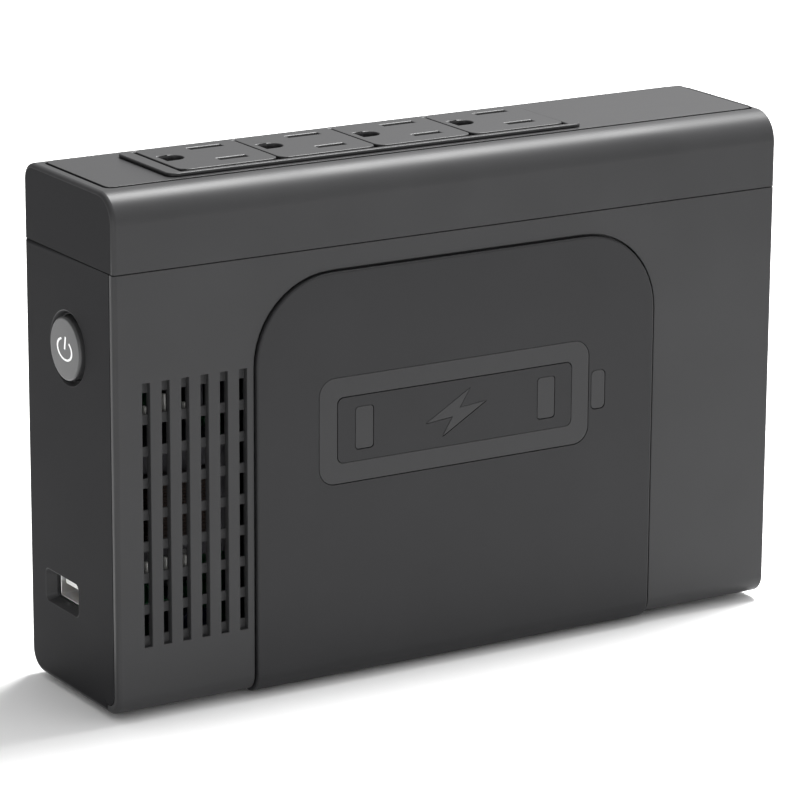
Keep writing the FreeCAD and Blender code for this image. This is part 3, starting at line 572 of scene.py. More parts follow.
def pale_insulator():
    return moulded_plastic("pale insulator", (0.80, 0.80, 0.78), 0.40, 0.05, 0.03)


def brass():
    return rolled_metal("brass", (0.72, 0.52, 0.24), 0.25)


def black_insulator():
    return moulded_plastic("black insulator", (0.014, 0.014, 0.014), 0.50, 0.15)


# ---------------------------------------------------------------- casing pieces
class UPS_OT_front_shell(bpy.types.Operator):
    """Front wall with the vent grid, the panel's seat and the rolled lower edge"""
    bl_idname = "ups.front_shell"
    bl_label = "Front Shell"

    def execute(self, context):
        casing, vents, panel = (context.scene.ups_casing, context.scene.ups_vents,
                                context.scene.ups_panel)
        wall, groove, seat = casing.wall / MM, panel.groove / MM, panel.seat / MM
        depth, opening = vents.depth / MM, vents.window / MM
        x0, x1 = panel_low.x - groove, panel_high.x + groove
        top = panel_high.z + groove
        radius = panel.corner / MM + groove
        knee = BASE + CORNER
        slot_low = BASE + vents.bottom / MM
        slot_high = slot_low + vents.height / MM
        half = vents.width / MM / 2
        columns = [LEFT + (vents.first + column * vents.pitch) / MM for column in range(6)]
        rows = [BASE + (vents.window_first + row * vents.row_pitch) / MM for row in range(8)]
        stops = [slot_low] + [z + step for z in rows for step in (0.0, opening)] + [slot_high]
        slots = [[(x + half, z) for z in stops] + [(x - half, z) for z in reversed(stops)]
                 for x in columns]
        windows = [rectangle(x - half, x + half, z, z + opening) for x in columns for z in rows]
        door = rectangle(DOOR_LEFT, DOOR_RIGHT, DOOR_FOOT, DOOR_TOP)

        face = [(LEFT + RIM, knee), (x0, knee), (x0, top, radius), (x1, top, radius), (x1, knee),
                (RIGHT - RIM, knee), (RIGHT - RIM, SHELL_TOP), (LEFT + RIM, SHELL_TOP)]
        outer = lay(flat_sheet(face, *slots), "-y", FRONT)
        ribs = [lay(flat_sheet(rectangle(x - half, x + half, low, high)), "-y", FRONT + depth)
                for x in columns for low, high in zip(stops[::2], stops[1::2])]
        floor = [(x0, knee), (x1, knee), (x1, top, radius), (x0, top, radius)]
        recess = lay(flat_sheet(floor, door), "-y", FRONT + seat)
        across = (LEFT, LEFT + RIM, x0, x1, RIGHT - RIM, RIGHT)
        inside = [(x, knee) for x in across] + [(x, SHELL_TOP) for x in (
            RIGHT, RIGHT - RIM, LEFT + RIM, LEFT)]
        inner = lay(flat_sheet(inside, door, *windows), "+y", FRONT + wall)
        bm = joined(outer, recess, inner, *side_strips("-y", FRONT, knee), *ribs)

        def at_front(co):
            return same(co.y, FRONT)

        in_slots = open_edges(bm, lambda co: at_front(co) and LEFT + 1 < co.x < x0 - 0.5 and
                              slot_low - 0.01 < co.z < slot_high + 0.01)
        pull(bm, in_slots, (0, depth, 0))
        merge(bm)
        in_windows = open_edges(bm, lambda co: same(co.y, FRONT + depth) and
                                rows[0] - 0.01 < co.z < rows[-1] + opening + 0.01)
        rib_edge = 6.0  # longer edges run along a whole slot
        pull(bm, [edge for edge in in_windows if edge.calc_length() < rib_edge],
             (0, wall - depth, 0))
        rim = open_edges(bm, lambda co: at_front(co) and x0 - 0.01 < co.x < x1 + 0.01 and
                         co.z < top + 0.01)
        pull(bm, [edge for edge in rim if max(v.co.z for v in edge.verts) > knee + 0.01],
             (0, seat, 0))
        doorway = open_edges(bm, lambda co: same(co.y, FRONT + seat) and co.z > knee + 0.5 and
                             min(abs(co.x - DOOR_LEFT), abs(co.x - DOOR_RIGHT)) < 0.01)
        pull(bm, doorway, (0, wall - seat, 0))
        merge(bm)
        pull(bm, open_edges(bm, lambda co: at_front(co) and co.z > SHELL_TOP - 0.01), (0, wall, 0))
        for layer in (0.0, seat, wall):
            lower = open_edges(bm, lambda co: same(co.y, FRONT + layer) and same(co.z, knee))
            last = sweep(bm, lower, FRONT + CORNER, knee, math.pi / 2)
            last = pull(bm, last, (0, SHELL_REACH - FRONT - CORNER, 0))
            if layer < wall:
                pull(bm, last, (0, 0, wall - layer))
        merge(bm)
        bmesh.ops.holes_fill(bm, edges=open_edges(bm, lambda co: True), sides=0)
        face_outwards(bm)

        def on_skin(co):
            reach = math.hypot(co.y - FRONT - CORNER, co.z - knee)
            return (at_front(co) or co.z < BASE + 0.01 or
                    (co.z < knee and abs(reach - CORNER) < 0.02))
        round_ends(bm, on_skin)
        finish_piece("front_shell_moulding", bm, casing_plastic(), "front_shell",
                     wide=1.0, crisp=casing.crisp / MM)
        return {"FINISHED"}


class UPS_OT_rear_shell(bpy.types.Operator):
    """Back, floor and both ends, with the button dish, port openings, slots and screw pockets"""
    bl_idname = "ups.rear_shell"
    bl_label = "Rear Shell"

    def execute(self, context):
        casing = context.scene.ups_casing
        wall = casing.wall / MM
        radius = casing.rear_bottom_radius / MM
        knee = BASE + radius
        gap = wall + 0.2
        end = [(FRONT + gap, SHELL_TOP), (FRONT + gap, BASE + gap, CORNER - gap),
               (REAR_LIP, BASE + gap), (REAR_LIP, BASE), (REAR, BASE, radius), (REAR, SHELL_TOP)]
        _, usb_y, usb_z = middle_of("usb_shell")
        inlet_z, breaker_z = middle_of("inlet_housing")[2], middle_of("breaker_button")[2]
        dish, dish_lead, dish_foot, button_hole = 9.2, 8.6, 7.798, 7.6  # radii, outside to inside
        wide, tall = 8.6, 4.4  # half sizes of the pocket round the USB port
        mouth, pocket, shank = 3.4, 3.1, 1.7  # radii of a screw pocket's edge, wall and hole
        left_end = lay(guarded_sheet(
            end, disc(BUTTON_Y, BUTTON_Z, dish, 64),
            rectangle(usb_y - wide, usb_y + wide, usb_z - tall, usb_z + tall, 1.5)), "-x", LEFT)
        right_end = lay(guarded_sheet(end, rectangle(-10.3, 10.3, inlet_z - 14, inlet_z + 14),
                                      disc(0, breaker_z, 5.3)), "+x", RIGHT)
        slots = [rectangle(x - 1.1, x + 1.1, BASE + 22, BASE + 62, 1.05)
                 for x in [RIGHT - 22.0 - column * 6.0 for column in range(10)]]
        back = lay(flat_sheet(rectangle(LEFT + RIM, RIGHT - RIM, knee, SHELL_TOP),
                              *[disc(x, z, mouth, 32) for x, z in SCREWS], *slots, segments=6),
                   "+y", REAR)
        bm = joined(left_end, right_end, back, *side_strips("+y", REAR, knee))
        lower = open_edges(bm, lambda co: same(co.y, REAR) and same(co.z, knee))
        last = sweep(bm, lower, REAR - radius, knee, -math.pi / 2)
        pull(bm, last, (0, REAR_LIP - REAR + radius, 0))
        merge(bm)

        def carve_end(y, z, reach, *steps):
            carve(bm, open_edges(bm, lambda co: same(co.x, LEFT) and
                                 math.hypot(co.y - y, co.z - z) < reach), (LEFT, y, z), *steps)
        carve_end(BUTTON_Y, BUTTON_Z, 9.4,
                  ((0, 0, 0), (1, dish_lead / dish, dish_lead / dish)),
                  ((0.35, 0, 0), (1, 0.975, 0.975)), ((1.05, 0, 0), (1, 0.93, 0.93)),
                  ((0, 0, 0), (1, button_hole / dish_foot, button_hole / dish_foot)),
                  ((4.6, 0, 0), None))
        carve_end(usb_y, usb_z, 9.7, ((0, 0, 0), (1, 8.1 / wide, 3.9 / tall)),
                  ((2.2, 0, 0), (1, 6.7 / 8.1, 3.0 / 3.9)), ((0.6, 0, 0), None))
        for x, z in SCREWS:
            carve(bm, open_edges(bm, lambda co: same(co.y, REAR) and
                                 math.hypot(co.x - x, co.z - z) < 3.6), (x, REAR, z),
                  ((0, 0, 0), (pocket / mouth, 1, pocket / mouth)), ((0, -1.7, 0), None),
                  ((0, 0, 0), (shank / pocket, 1, shank / pocket)))
        face_outwards(bm)
        round_ends(bm, lambda co: co.y > REAR - radius - 0.01 or co.z < BASE + 0.01)
        finish_piece("rear_shell_moulding", bm, casing_plastic(), "rear_shell", wall=wall,
                     wide=1.0, crisp=casing.crisp / MM, ends=painted_shade_end_plastic())
        return {"FINISHED"}


class UPS_OT_top_cover(bpy.types.Operator):
    """Upper cap with rolled front and rear edges and the let-in seat of the top plate"""
    bl_idname = "ups.top_cover"
    bl_label = "Top Cover"

    def execute(self, context):
        casing, top = context.scene.ups_casing, context.scene.ups_top
        front_radius, rear_radius = casing.front_top_radius / MM, casing.rear_top_radius / MM
        gap = top.plate_gap / MM
        bm = bmesh.new()
        add_outline(bm, [(FRONT, COVER_FOOT), (REAR, COVER_FOOT), (REAR, TOP, rear_radius),
                         (FRONT, TOP, front_radius)])
        lay(bm, "+x", LEFT)
        inner_left, inner_right = LEFT + RIM, RIGHT - 0.6
        end = bm.faces[:]
        for step in (RIM, inner_right - inner_left, RIGHT - inner_right):
            pushed = bmesh.ops.extrude_face_region(bm, geom=end)["geom"]
            bmesh.ops.translate(bm, vec=(step, 0, 0), verts=those(pushed, VERT))
            if step != RIM:
                bmesh.ops.delete(bm, geom=end, context="FACES_ONLY")
            end = those(pushed, FACE)
        flat = [face for face in bm.faces
                if all(same(v.co.z, COVER_FOOT) for v in face.verts) or
                all(same(v.co.z, TOP) and inner_left - 0.01 < v.co.x < inner_right + 0.01
                    for v in face.verts)]
        bmesh.ops.delete(bm, geom=flat, context="FACES_ONLY")
        bmesh.ops.delete(bm, geom=[edge for edge in bm.edges if edge.is_wire], context="EDGES")
        seat = rectangle(plate_low.x - gap, plate_high.x + gap, plate_low.y - gap,
                         plate_high.y + gap, top.plate_corner / MM + gap)
        window = rectangle(strip_low.x + 1.0, strip_high.x - 1.0, strip_low.y + 0.6,
                           strip_high.y - 0.6)
        lid = rectangle(inner_left, inner_right, FRONT + front_radius, REAR - rear_radius)
        seat_depth = TOP - plate_low.z + 0.1
        bm = joined(bm, lay(flat_sheet(lid, seat), "+z", TOP),
                    lay(flat_sheet(seat, window), "+z", TOP - seat_depth))
        pull(bm, open_edges(bm, lambda co: same(co.z, TOP)), (0, 0, -seat_depth))
        merge(bm)
        face_outwards(bm)
        round_ends(bm)
        finish_piece("top_cover_moulding", bm, casing_plastic(), "top_cover", wall=0.3,
                     wide=1.0, crisp=casing.crisp / MM, ends=painted_shade_end_plastic())
        return {"FINISHED"}


class UPS_OT_top_plate(bpy.types.Operator):
    """Plate let into the top cover round the outlets"""
    bl_idname = "ups.top_plate"
    bl_label = "Top Plate"

    def execute(self, context):
        top = context.scene.ups_top
        sheet = flat_sheet(rectangle(plate_low.x, plate_high.x, plate_low.y, plate_high.y,
                                     top.plate_corner / MM),
                           rectangle(strip_low.x + 1.4, strip_high.x - 1.4, strip_low.y + 1.0,
                                     strip_high.y - 1.0))
        plastic = moulded_plastic("plate plastic with painted shade", top.plate, 0.42, 0.10, gloss=0.36)
        finish_piece("top_plate_moulding", lay(sheet, "+z", plate_high.z), plastic, "top_plate",
                     wall=plate_high.z - plate_low.z, crisp=0.06)
        return {"FINISHED"}


# ---------------------------------------------------------------- outlets
class UPS_OT_outlets(bpy.types.Operator):
    """Raised frame and four outlet faces, each with a ground hole and two blade slots"""
    bl_idname = "ups.outlets"
    bl_label = "Outlets"

    def execute(self, context):
        top = context.scene.ups_top
        plastic = moulded_plastic("outlet plastic with painted shade", top.outlets, 0.42, 0.10, gloss=0.36)
        first_low, first_high = span("outlet_face_1")
        middle_y = middle_of("outlet_strip")[1]
        outer = rectangle(strip_low.x, strip_high.x, strip_low.y, strip_high.y, 2.4)
        window = rectangle(first_low.x - 0.3, span("outlet_face_4")[1].x + 0.3,
                           first_low.y - 0.3, first_high.y + 0.3)
        skirt = rectangle(strip_low.x + 1.8, strip_high.x - 1.8, middle_y - 11.75,
                          middle_y + 11.75)
        face, seat, foot = strip_high.z, plate_high.z, strip_low.z
        bm = joined(lay(flat_sheet(outer, window), "+z", face),
                    lay(flat_sheet(outer, skirt), "-z", seat),
                    lay(flat_sheet(skirt, window), "-z", foot))
        (u0, v0, _), _, (u1, v1, _), _ = window
        pull(bm, open_edges(bm, lambda co: same(co.z, face) and u0 - 0.01 < co.x < u1 + 0.01 and
                            v0 - 0.01 < co.y < v1 + 0.01), (0, 0, foot - face))
        pull(bm, open_edges(bm, lambda co: same(co.z, face)), (0, 0, seat - face))
        merge(bm)
        pull(bm, open_edges(bm, lambda co: same(co.z, seat)), (0, 0, foot - seat))
        merge(bm)
        face_outwards(bm)
        finish_piece("outlet_frame", bm, plastic, "outlet_strip", crisp=0.25)
        for index in range(1, 5):
            self.outlet("outlet_face_%d" % index, middle_y, plastic, top.tile_round / MM)
        return {"FINISHED"}

    def outlet(self, node, middle_y, plastic, crisp):
        """Tile with a half-round ground hole and two blade slots, each with a lead-in."""
        low, high = span(node)
        tile = [(low.x, low.y, 2.6), (high.x, low.y, 2.6), (high.x, high.y, 1.0),
                (low.x, high.y, 1.0)]
        x, y, reach = (low.x + high.x) / 2 - 8.2, middle_y + 1.2, 2.7
        ground = [(x, y - reach), (x + reach, y - reach, 2.69), (x + reach, y + reach, 2.69),
                  (x, y + reach), (x - reach, y + reach), (x - reach, y - reach)]
        blade_x = x + 11.9
        neutral = rectangle(blade_x - 4.3, blade_x + 4.3, y + 5.25, y + 7.45)
        hot = rectangle(blade_x - 3.7, blade_x + 3.7, y - 7.45, y - 5.25)
        face = lay(flat_sheet(tile, ground, neutral, hot), "+z", high.z)
        inward, down = 0.25, 0.65
        for u, v, wide, deep in ((x, y, 2 * reach, 2 * reach), (blade_x, y + 6.35, 8.6, 2.2),
                                 (blade_x, y - 6.35, 7.4, 2.2)):
            mouth = open_edges(face, lambda co: abs(co.x - u) < wide / 2 + 0.01 and
                               abs(co.y - v) < deep / 2 + 0.01)
            carve(face, mouth, (u, v, high.z),
                  ((0, 0, -down), (1 - 2 * inward / wide, 1 - 2 * inward / deep, 1)),
                  ((0, 0, low.z - high.z + down), None))
        pull(face, open_edges(face, lambda co: same(co.z, high.z)), (0, 0, low.z - high.z))
        bmesh.ops.triangle_fill(face, use_beauty=True, edges=open_edges(face, lambda co: True))
        face_outwards(face)
        finish_piece(node + "_moulding", face, plastic, node, crisp=crisp)


# ---------------------------------------------------------------- front panel and emblem
def emblem_shapes(growth, shift=0.0):
    """Battery outline, its inner opening, terminal, two bars and a spark, as flat outlines.

    The shift moves them right and down, which leaves the panel's openings a wider gap on that side.
    """
    def grown(u0, u1, v0, v1, radius):
        return rectangle(u0 - growth, u1 + growth, v0 - growth, v1 + growth, radius)

    low, high = span("front_emblem")
    x0, z0, z1 = low.x + shift, low.z - shift, high.z - shift
    x1 = x0 + 72.8
    middle_x, middle_z = (x0 + x1) / 2, (z0 + z1) / 2
    outer = grown(x0, x1, z0, z1, 4.0 + growth)
    frame_width = 4.6 + growth
    inner = rectangle(x0 + frame_width, x1 - frame_width, z0 + frame_width, z1 - frame_width, 1.6)
    nub = grown(x1 + 0.9, x1 + 4.6, middle_z - 4.6, middle_z + 4.6, 1.2)
    bars = [grown(x - 2.3, x + 2.3, middle_z - 4.9, middle_z + 4.9, 0.8)
            for x in (middle_x - 24.6, middle_x + 24.6)]
    spark = [(-8.0, -1.6), (3.6, 5.2), (0.9, 0.9), (8.0, 1.6), (-3.6, -5.2), (-0.9, -0.9)]
    stretch = 1.0 + growth / 4.0
    spark = [(middle_x + u * stretch, middle_z + v * stretch) for u, v in reversed(spark)]
    return outer, inner, nub, bars, spark


class UPS_OT_front_panel(bpy.types.Operator):
    """Removable panel that wraps under the lower front edge, its hooks and its inlaid emblem"""
    bl_idname = "ups.front_panel"
    bl_label = "Front Panel and Emblem"

    def execute(self, context):
        panel = context.scene.ups_panel
        plastic = moulded_plastic("panel plastic", panel.dark, 0.44, 0.12, gloss=0.15)
        satin = moulded_plastic("emblem satin", panel.emblem, 0.40, 0.06, 0.05, 0.25)
        face_y = panel_low.y
        knee = BASE + CORNER
        radius = panel.corner / MM
        outline = [(panel_low.x, knee), (panel_high.x, knee), (panel_high.x, panel_high.z, radius),
                   (panel_low.x, panel_high.z, radius)]
        outer, inner, nub, bars, spark = emblem_shapes(0.15, 0.11)
        backing = rectangle(outer[0][0] - 2, nub[1][0] + 2, outer[0][1] - 2, outer[2][1] + 2)
        bm = joined(lay(flat_sheet(outline, outer, nub), "-y", face_y),
                    lay(flat_sheet(inner, *bars, spark), "-y", face_y),
                    lay(flat_sheet(backing), "-y", face_y + 0.55))
        lower = open_edges(bm, lambda co: same(co.z, knee))
        last = sweep(bm, lower, FRONT + CORNER, knee, math.pi / 2)
        pull(bm, last, (0, PANEL_REACH - FRONT - CORNER, 0))
        emblem_low, emblem_high = span("front_emblem")
        weigh(bm, lambda edge: edge.is_boundary and any(
            not emblem_low.z - 2.2 <= v.co.z <= emblem_high.z + 2.2 or
            v.co.x < panel_low.x + 0.01 or v.co.x > panel_high.x - 0.01
            for v in edge.verts), 1.0)
        finish_piece("front_panel_moulding", bm, plastic, "front_panel", "panel",
                     wall=panel.skin / MM, wide=panel.edge / MM, crisp=0.02)
        hooks = [block((x - 4, FRONT + 0.9, z), (x + 4, FRONT + 4.4, z + 1.8), 0.3)
                 for x in (-24.0, 24.0) for z in (BASE + 83.6, BASE + 10.6)]
        finish_piece("panel_hooks", joined(*hooks), plastic, body="panel")
        outer, inner, nub, bars, spark = emblem_shapes(0.0)
        parts = [flat_sheet(shape) for shape in [nub, spark] + bars] + [flat_sheet(outer, inner)]
        inlay = joined(*[lay(part, "-y", emblem_low.y) for part in parts])
        finish_piece("emblem_inlay", inlay, satin, "front_emblem", "panel", wall=0.5)
        return {"FINISHED"}


# ---------------------------------------------------------------- button, ports and breaker
class UPS_OT_power_button(bpy.types.Operator):
    """Round power button with its standby symbol"""
    bl_idname = "ups.power_button"
    bl_label = "Power Button"

    def execute(self, context):
        casing = context.scene.ups_casing
        face = span("power_button")[0].x
        x = LEFT - face
        cap = turned([(0.03, 0), (0.03, 7.3, 0.6), (x + 6.3, 7.3), (x + 6.3, 8.8, 0.2),
                      (x + 7.3, 8.8, 0.2), (x + 7.3, 1.8), (x + 8.6, 1.8, 0.3), (x + 8.6, 0)],
                     (face, BUTTON_Y, BUTTON_Z), "x", steps=64, segments=5)
        finish_piece("power_button_cap", cap,
                     moulded_plastic("button plastic", casing.dark, 0.40, 0.08), "power_button",
                     "button")
        wide, tall, stroke, lean = 3.75, 2.55, 0.62, math.radians(9.0)
        ring = bmesh.new()
        add_outline(ring, rectangle(0.0, 0.3, wide - stroke, wide))
        opening = math.radians(31.0)
        turn_about_x(ring, opening)
        bmesh.ops.spin(ring, geom=ring.faces[:] + ring.edges[:] + ring.verts[:], cent=(0, 0, 0),
                       axis=(1, 0, 0), angle=math.tau - 2 * opening, steps=48)
        turn_about_x(ring, math.pi / 2)
        bmesh.ops.scale(ring, vec=(1, 1, tall / wide), verts=ring.verts[:])
        merge(ring)
        bmesh.ops.holes_fill(ring, edges=open_edges(ring, lambda co: True), sides=0)
        bmesh.ops.recalc_face_normals(ring, faces=ring.faces[:])
        ring = joined(ring, block((0.0, -stroke / 2, 0.0), (0.3, stroke / 2, 3.0), 0.05))
        turn_about_x(ring, lean)
        bmesh.ops.translate(ring, vec=(face, BUTTON_Y, BUTTON_Z - 0.1), verts=ring.verts[:])
        finish_piece("power_symbol", ring,
                     moulded_plastic("white print", (0.90, 0.90, 0.90), 0.45, 0.05, 0.03),
                     "power_icon", "button")
        return {"FINISHED"}


class UPS_OT_usb_port(bpy.types.Operator):
    """USB receptacle: bent metal shell, pale tongue and four contacts"""
    bl_idname = "ups.usb_port"
    bl_label = "USB Port"

    def execute(self, context):
        low, high = span("usb_shell")
        tube = bmesh.new()
        add_outline(tube, rectangle(low.y, high.y, low.z, high.z, 0.7), 6)
        lay(tube, "-x", low.x)
        bmesh.ops.delete(tube, geom=tube.faces[:], context="FACES_ONLY")
        pull(tube, tube.edges[:], (high.x - low.x, 0, 0))
        face_outwards(tube)
        steel = rolled_metal("tinned steel", (0.72, 0.72, 0.73), 0.42, (30.0, 1.0, 1.0))
        finish_piece("usb_shell_metal", tube, steel, "usb_shell", wall=0.3, crisp=0.06)
        low, high = span("usb_tongue")
        y = (low.y + high.y) / 2
        tongue = joined(block((low.x, y - 5.6, high.z - 2.4), (low.x + 11.4, y + 5.6, high.z - 0.2),
                              0.25),
                        block((low.x + 10.3, low.y, low.z), (high.x, high.y, high.z)))
        finish_piece("usb_tongue_moulding", tongue, pale_insulator(), "usb_tongue")
        low, high = span("usb_contacts")
        strips = [block((low.x, y + offset - 0.5, low.z), (high.x, y + offset + 0.5, high.z), 0.06)
                  for offset in (-3.5, -1.0, 1.0, 3.5)]
        finish_piece("usb_contact_strips", joined(*strips), brass(), "usb_contacts")
        return {"FINISHED"}


class UPS_OT_inlet_and_breaker(bpy.types.Operator):
    """Mains inlet with three blades, and the reset breaker above it"""
    bl_idname = "ups.inlet_and_breaker"
    bl_label = "Inlet and Breaker"

    def execute(self, context):
        low, high = span("inlet_housing")
        middle_z = (low.z + high.z) / 2
        y, z, chamfer = 8.2, 12.0, 4.2  # half sizes of the cavity, and its two cut corners
        cavity = [(-y, middle_z - z, 0.8), (y - chamfer, middle_z - z, 0.6),
                  (y, middle_z - z + chamfer, 0.6), (y, middle_z + z - chamfer, 0.6),
                  (y - chamfer, middle_z + z, 0.6), (-y, middle_z + z, 0.8)]
        housing = lay(flat_sheet(rectangle(low.y, high.y, low.z, high.z, 2.0), cavity,
                                 segments=5), "+x", high.x)
        rim = open_edges(housing, lambda co: abs(co.y) < y + 0.1 and
                         abs(co.z - middle_z) < z + 0.1)
        bmesh.ops.edgeloop_fill(housing, edges=pull(housing, rim, (-17.3, 0, 0)))
        bmesh.ops.recalc_face_normals(housing, faces=housing.faces[:])
        front = [face for face in housing.faces if face.calc_center_median().x > high.x - 1e-3]
        if front[0].normal.x < 0:
            bmesh.ops.reverse_faces(housing, faces=housing.faces[:])
        finish_piece("inlet_moulding", housing, black_insulator(), "inlet_housing", wall=1.75,
                     crisp=0.25)
        low, high = span("inlet_pins")
        blades = [block((low.x, y - 2, middle_z + z - 1), (high.x, y + 2, middle_z + z + 1),
                        0.55, 3) for y, z in ((-2.0, -7.0), (-2.0, 7.0), (2.0, 0.0))]
        finish_piece("inlet_blades", joined(*blades), brass(), "inlet_pins")
        low, high = span("breaker_body")
        middle_z = (low.z + high.z) / 2
        case = block(low, (RIGHT - 2.02, high.y, high.z), 0.5)
        nut = turned([(0, 3.35), (4.6, 3.35, 0.2), (4.6, 5.0, 0.2), (4.5, 5.0), (4.5, 7.0, 0.4),
                      (3.0, 7.0, 0.2), (3.0, 5.0), (0, 5.0)], (RIGHT - 2.95, 0, middle_z), "x")
        finish_piece("breaker_moulding", joined(case, nut), black_insulator(), "breaker_body")
        low, high = span("breaker_button")
        travel = high.x - low.x
        button = turned([(0, 0), (0, 4.1, 0.2), (2.0, 4.1, 0.2), (2.0, 3.0), (travel, 3.0, 0.7),
                         (travel, 0)], (low.x, 0, middle_z), "x")
        finish_piece("breaker_button_cap", button,
                     moulded_plastic("reset red", (0.30, 0.012, 0.010), 0.35, 0.05),
                     "breaker_button", "breaker_reset")
        return {"FINISHED"}


# ---------------------------------------------------------------- screws and feet
def pan_head_screw(x, y, z, radius, tall, shank_radius, shank, facing):
    """Screw with a domed head that faces +y or -y, a cross recess and a plain shank."""
    side = 1.0 if facing == "+y" else -1.0
    arm, width = radius * 0.55, 0.38
    cross = [(-arm, -width), (-width, -width), (-width, -arm), (width, -arm), (width, -width),
             (arm, -width), (arm, width), (width, width), (width, arm), (-width, arm),
             (-width, width), (-arm, width)]
    crown = lay(flat_sheet(disc(0, 0, radius * 0.62, 32), cross), facing, 0)
    arms = [edge for edge in crown.edges if edge.is_boundary and
            max(max(abs(v.co.x), abs(v.co.z)) for v in edge.verts) < arm + 1e-3 and
            max(v.co.length for v in edge.verts) < radius * 0.6]
    deep = pull(crown, arms, (0, -side * 0.8, 0), (0.8, 1, 0.8), (0, 0, 0))
    bmesh.ops.edgeloop_fill(crown, edges=deep)
    head = turned([(0, radius * 0.62), (tall, radius, tall * 0.55), (tall, shank_radius),
                   (tall + shank, shank_radius, 0.3), (tall + shank, 0)], (0, 0, 0),
                  "-y" if side > 0 else "y", steps=32, segments=5)
    whole = joined(crown, head)
    bmesh.ops.recalc_face_normals(whole, faces=whole.faces[:])
    bmesh.ops.translate(whole, vec=(x, y, z), verts=whole.verts[:])
    return whole


class UPS_OT_screws_and_feet(bpy.types.Operator):
    """Casing screws, board screws and rubber feet"""
    bl_idname = "ups.screws_and_feet"
    bl_label = "Screws and Feet"

    def execute(self, context):
        zinc = rolled_metal("zinc plate", (0.58, 0.58, 0.60), 0.30, (1.0, 1.0, 1.0))
        y = span("shell_screws")[1].y
        screws = [pan_head_screw(x, y, z, 2.7, 1.55, 1.2, 13.5, "+y") for x, z in SCREWS]
        finish_piece("shell_screw_set", joined(*screws), zinc, "shell_screws")
        y = span("board_screws")[0].y
        screws = [pan_head_screw(x, y, z, 2.4, 1.4, 1.0, 5.6, "-y")
                  for x in (LEFT + 20.0, RIGHT - 20.0) for z in (BASE + 12.0, BASE + 91.0)]
        finish_piece("board_screw_set", joined(*screws), zinc, "board_screws")
        low, high = span("rubber_feet")
        radius, tall = 4.5, high.z - low.z
        feet = [turned([(0, 0), (0, radius, 0.4), (tall, radius), (tall, 0)], (x, y, 0), "z", 40)
                for x in (low.x + radius, high.x - radius)
                for y in (low.y + radius, high.y - radius)]
        finish_piece("foot_pads", joined(*feet), soft_rubber("foot rubber"), "rubber_feet")
        return {"FINISHED"}


# ---------------------------------------------------------------- battery and electronics
def dress(material, *nodes):
    """Give nodes of the frame their finish."""
    for node in nodes:
        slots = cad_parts[node].data.materials
        slots.clear()
        slots.append(material)


class UPS_OT_battery(bpy.types.Operator):
    """Four wrapped cells with crimped tops, and the finishes of the parts round them"""
    bl_idname = "ups.battery"
    bl_label = "Battery"

    def execute(self, context):
        low, high = span("battery_cells")
        radius, pitch, tall, cap = (high.y - low.y) / 2, 19.6, 65.0, high.z - low.z
        profile = [(0, 0), (0, radius, 0.8), (tall - 3.2, radius, 0.3),
                   (tall - 2.6, radius - 0.7, 0.3), (tall - 2.0, radius, 0.3),
                   (tall, radius, 0.6), (tall, 3.4), (tall, 2.6), (cap, 2.6, 0.3), (cap, 0)]
        cells = [turned(profile, (low.x + radius + index * pitch, (low.y + high.y) / 2, low.z), "z")
                 for index in range(4)]
        finish_piece("wrapped_cells", joined(*cells),
                     moulded_plastic("cell wrap", (0.02, 0.10, 0.26), 0.28, 0.04), "battery_cells")
        dress(rolled_metal("nickel strip", (0.60, 0.58, 0.54), 0.30), "cell_links")
        dress(black_insulator(), "cell_holders")
        dress(solder_mask(), "protection_board")
        dress(moulded_plastic("red lead", (0.42, 0.015, 0.012), 0.35, 0.04), "battery_leads")
        dress(pale_insulator(), "battery_connector")
        dress(casing_plastic(), "battery_tray")
        return {"FINISHED"}


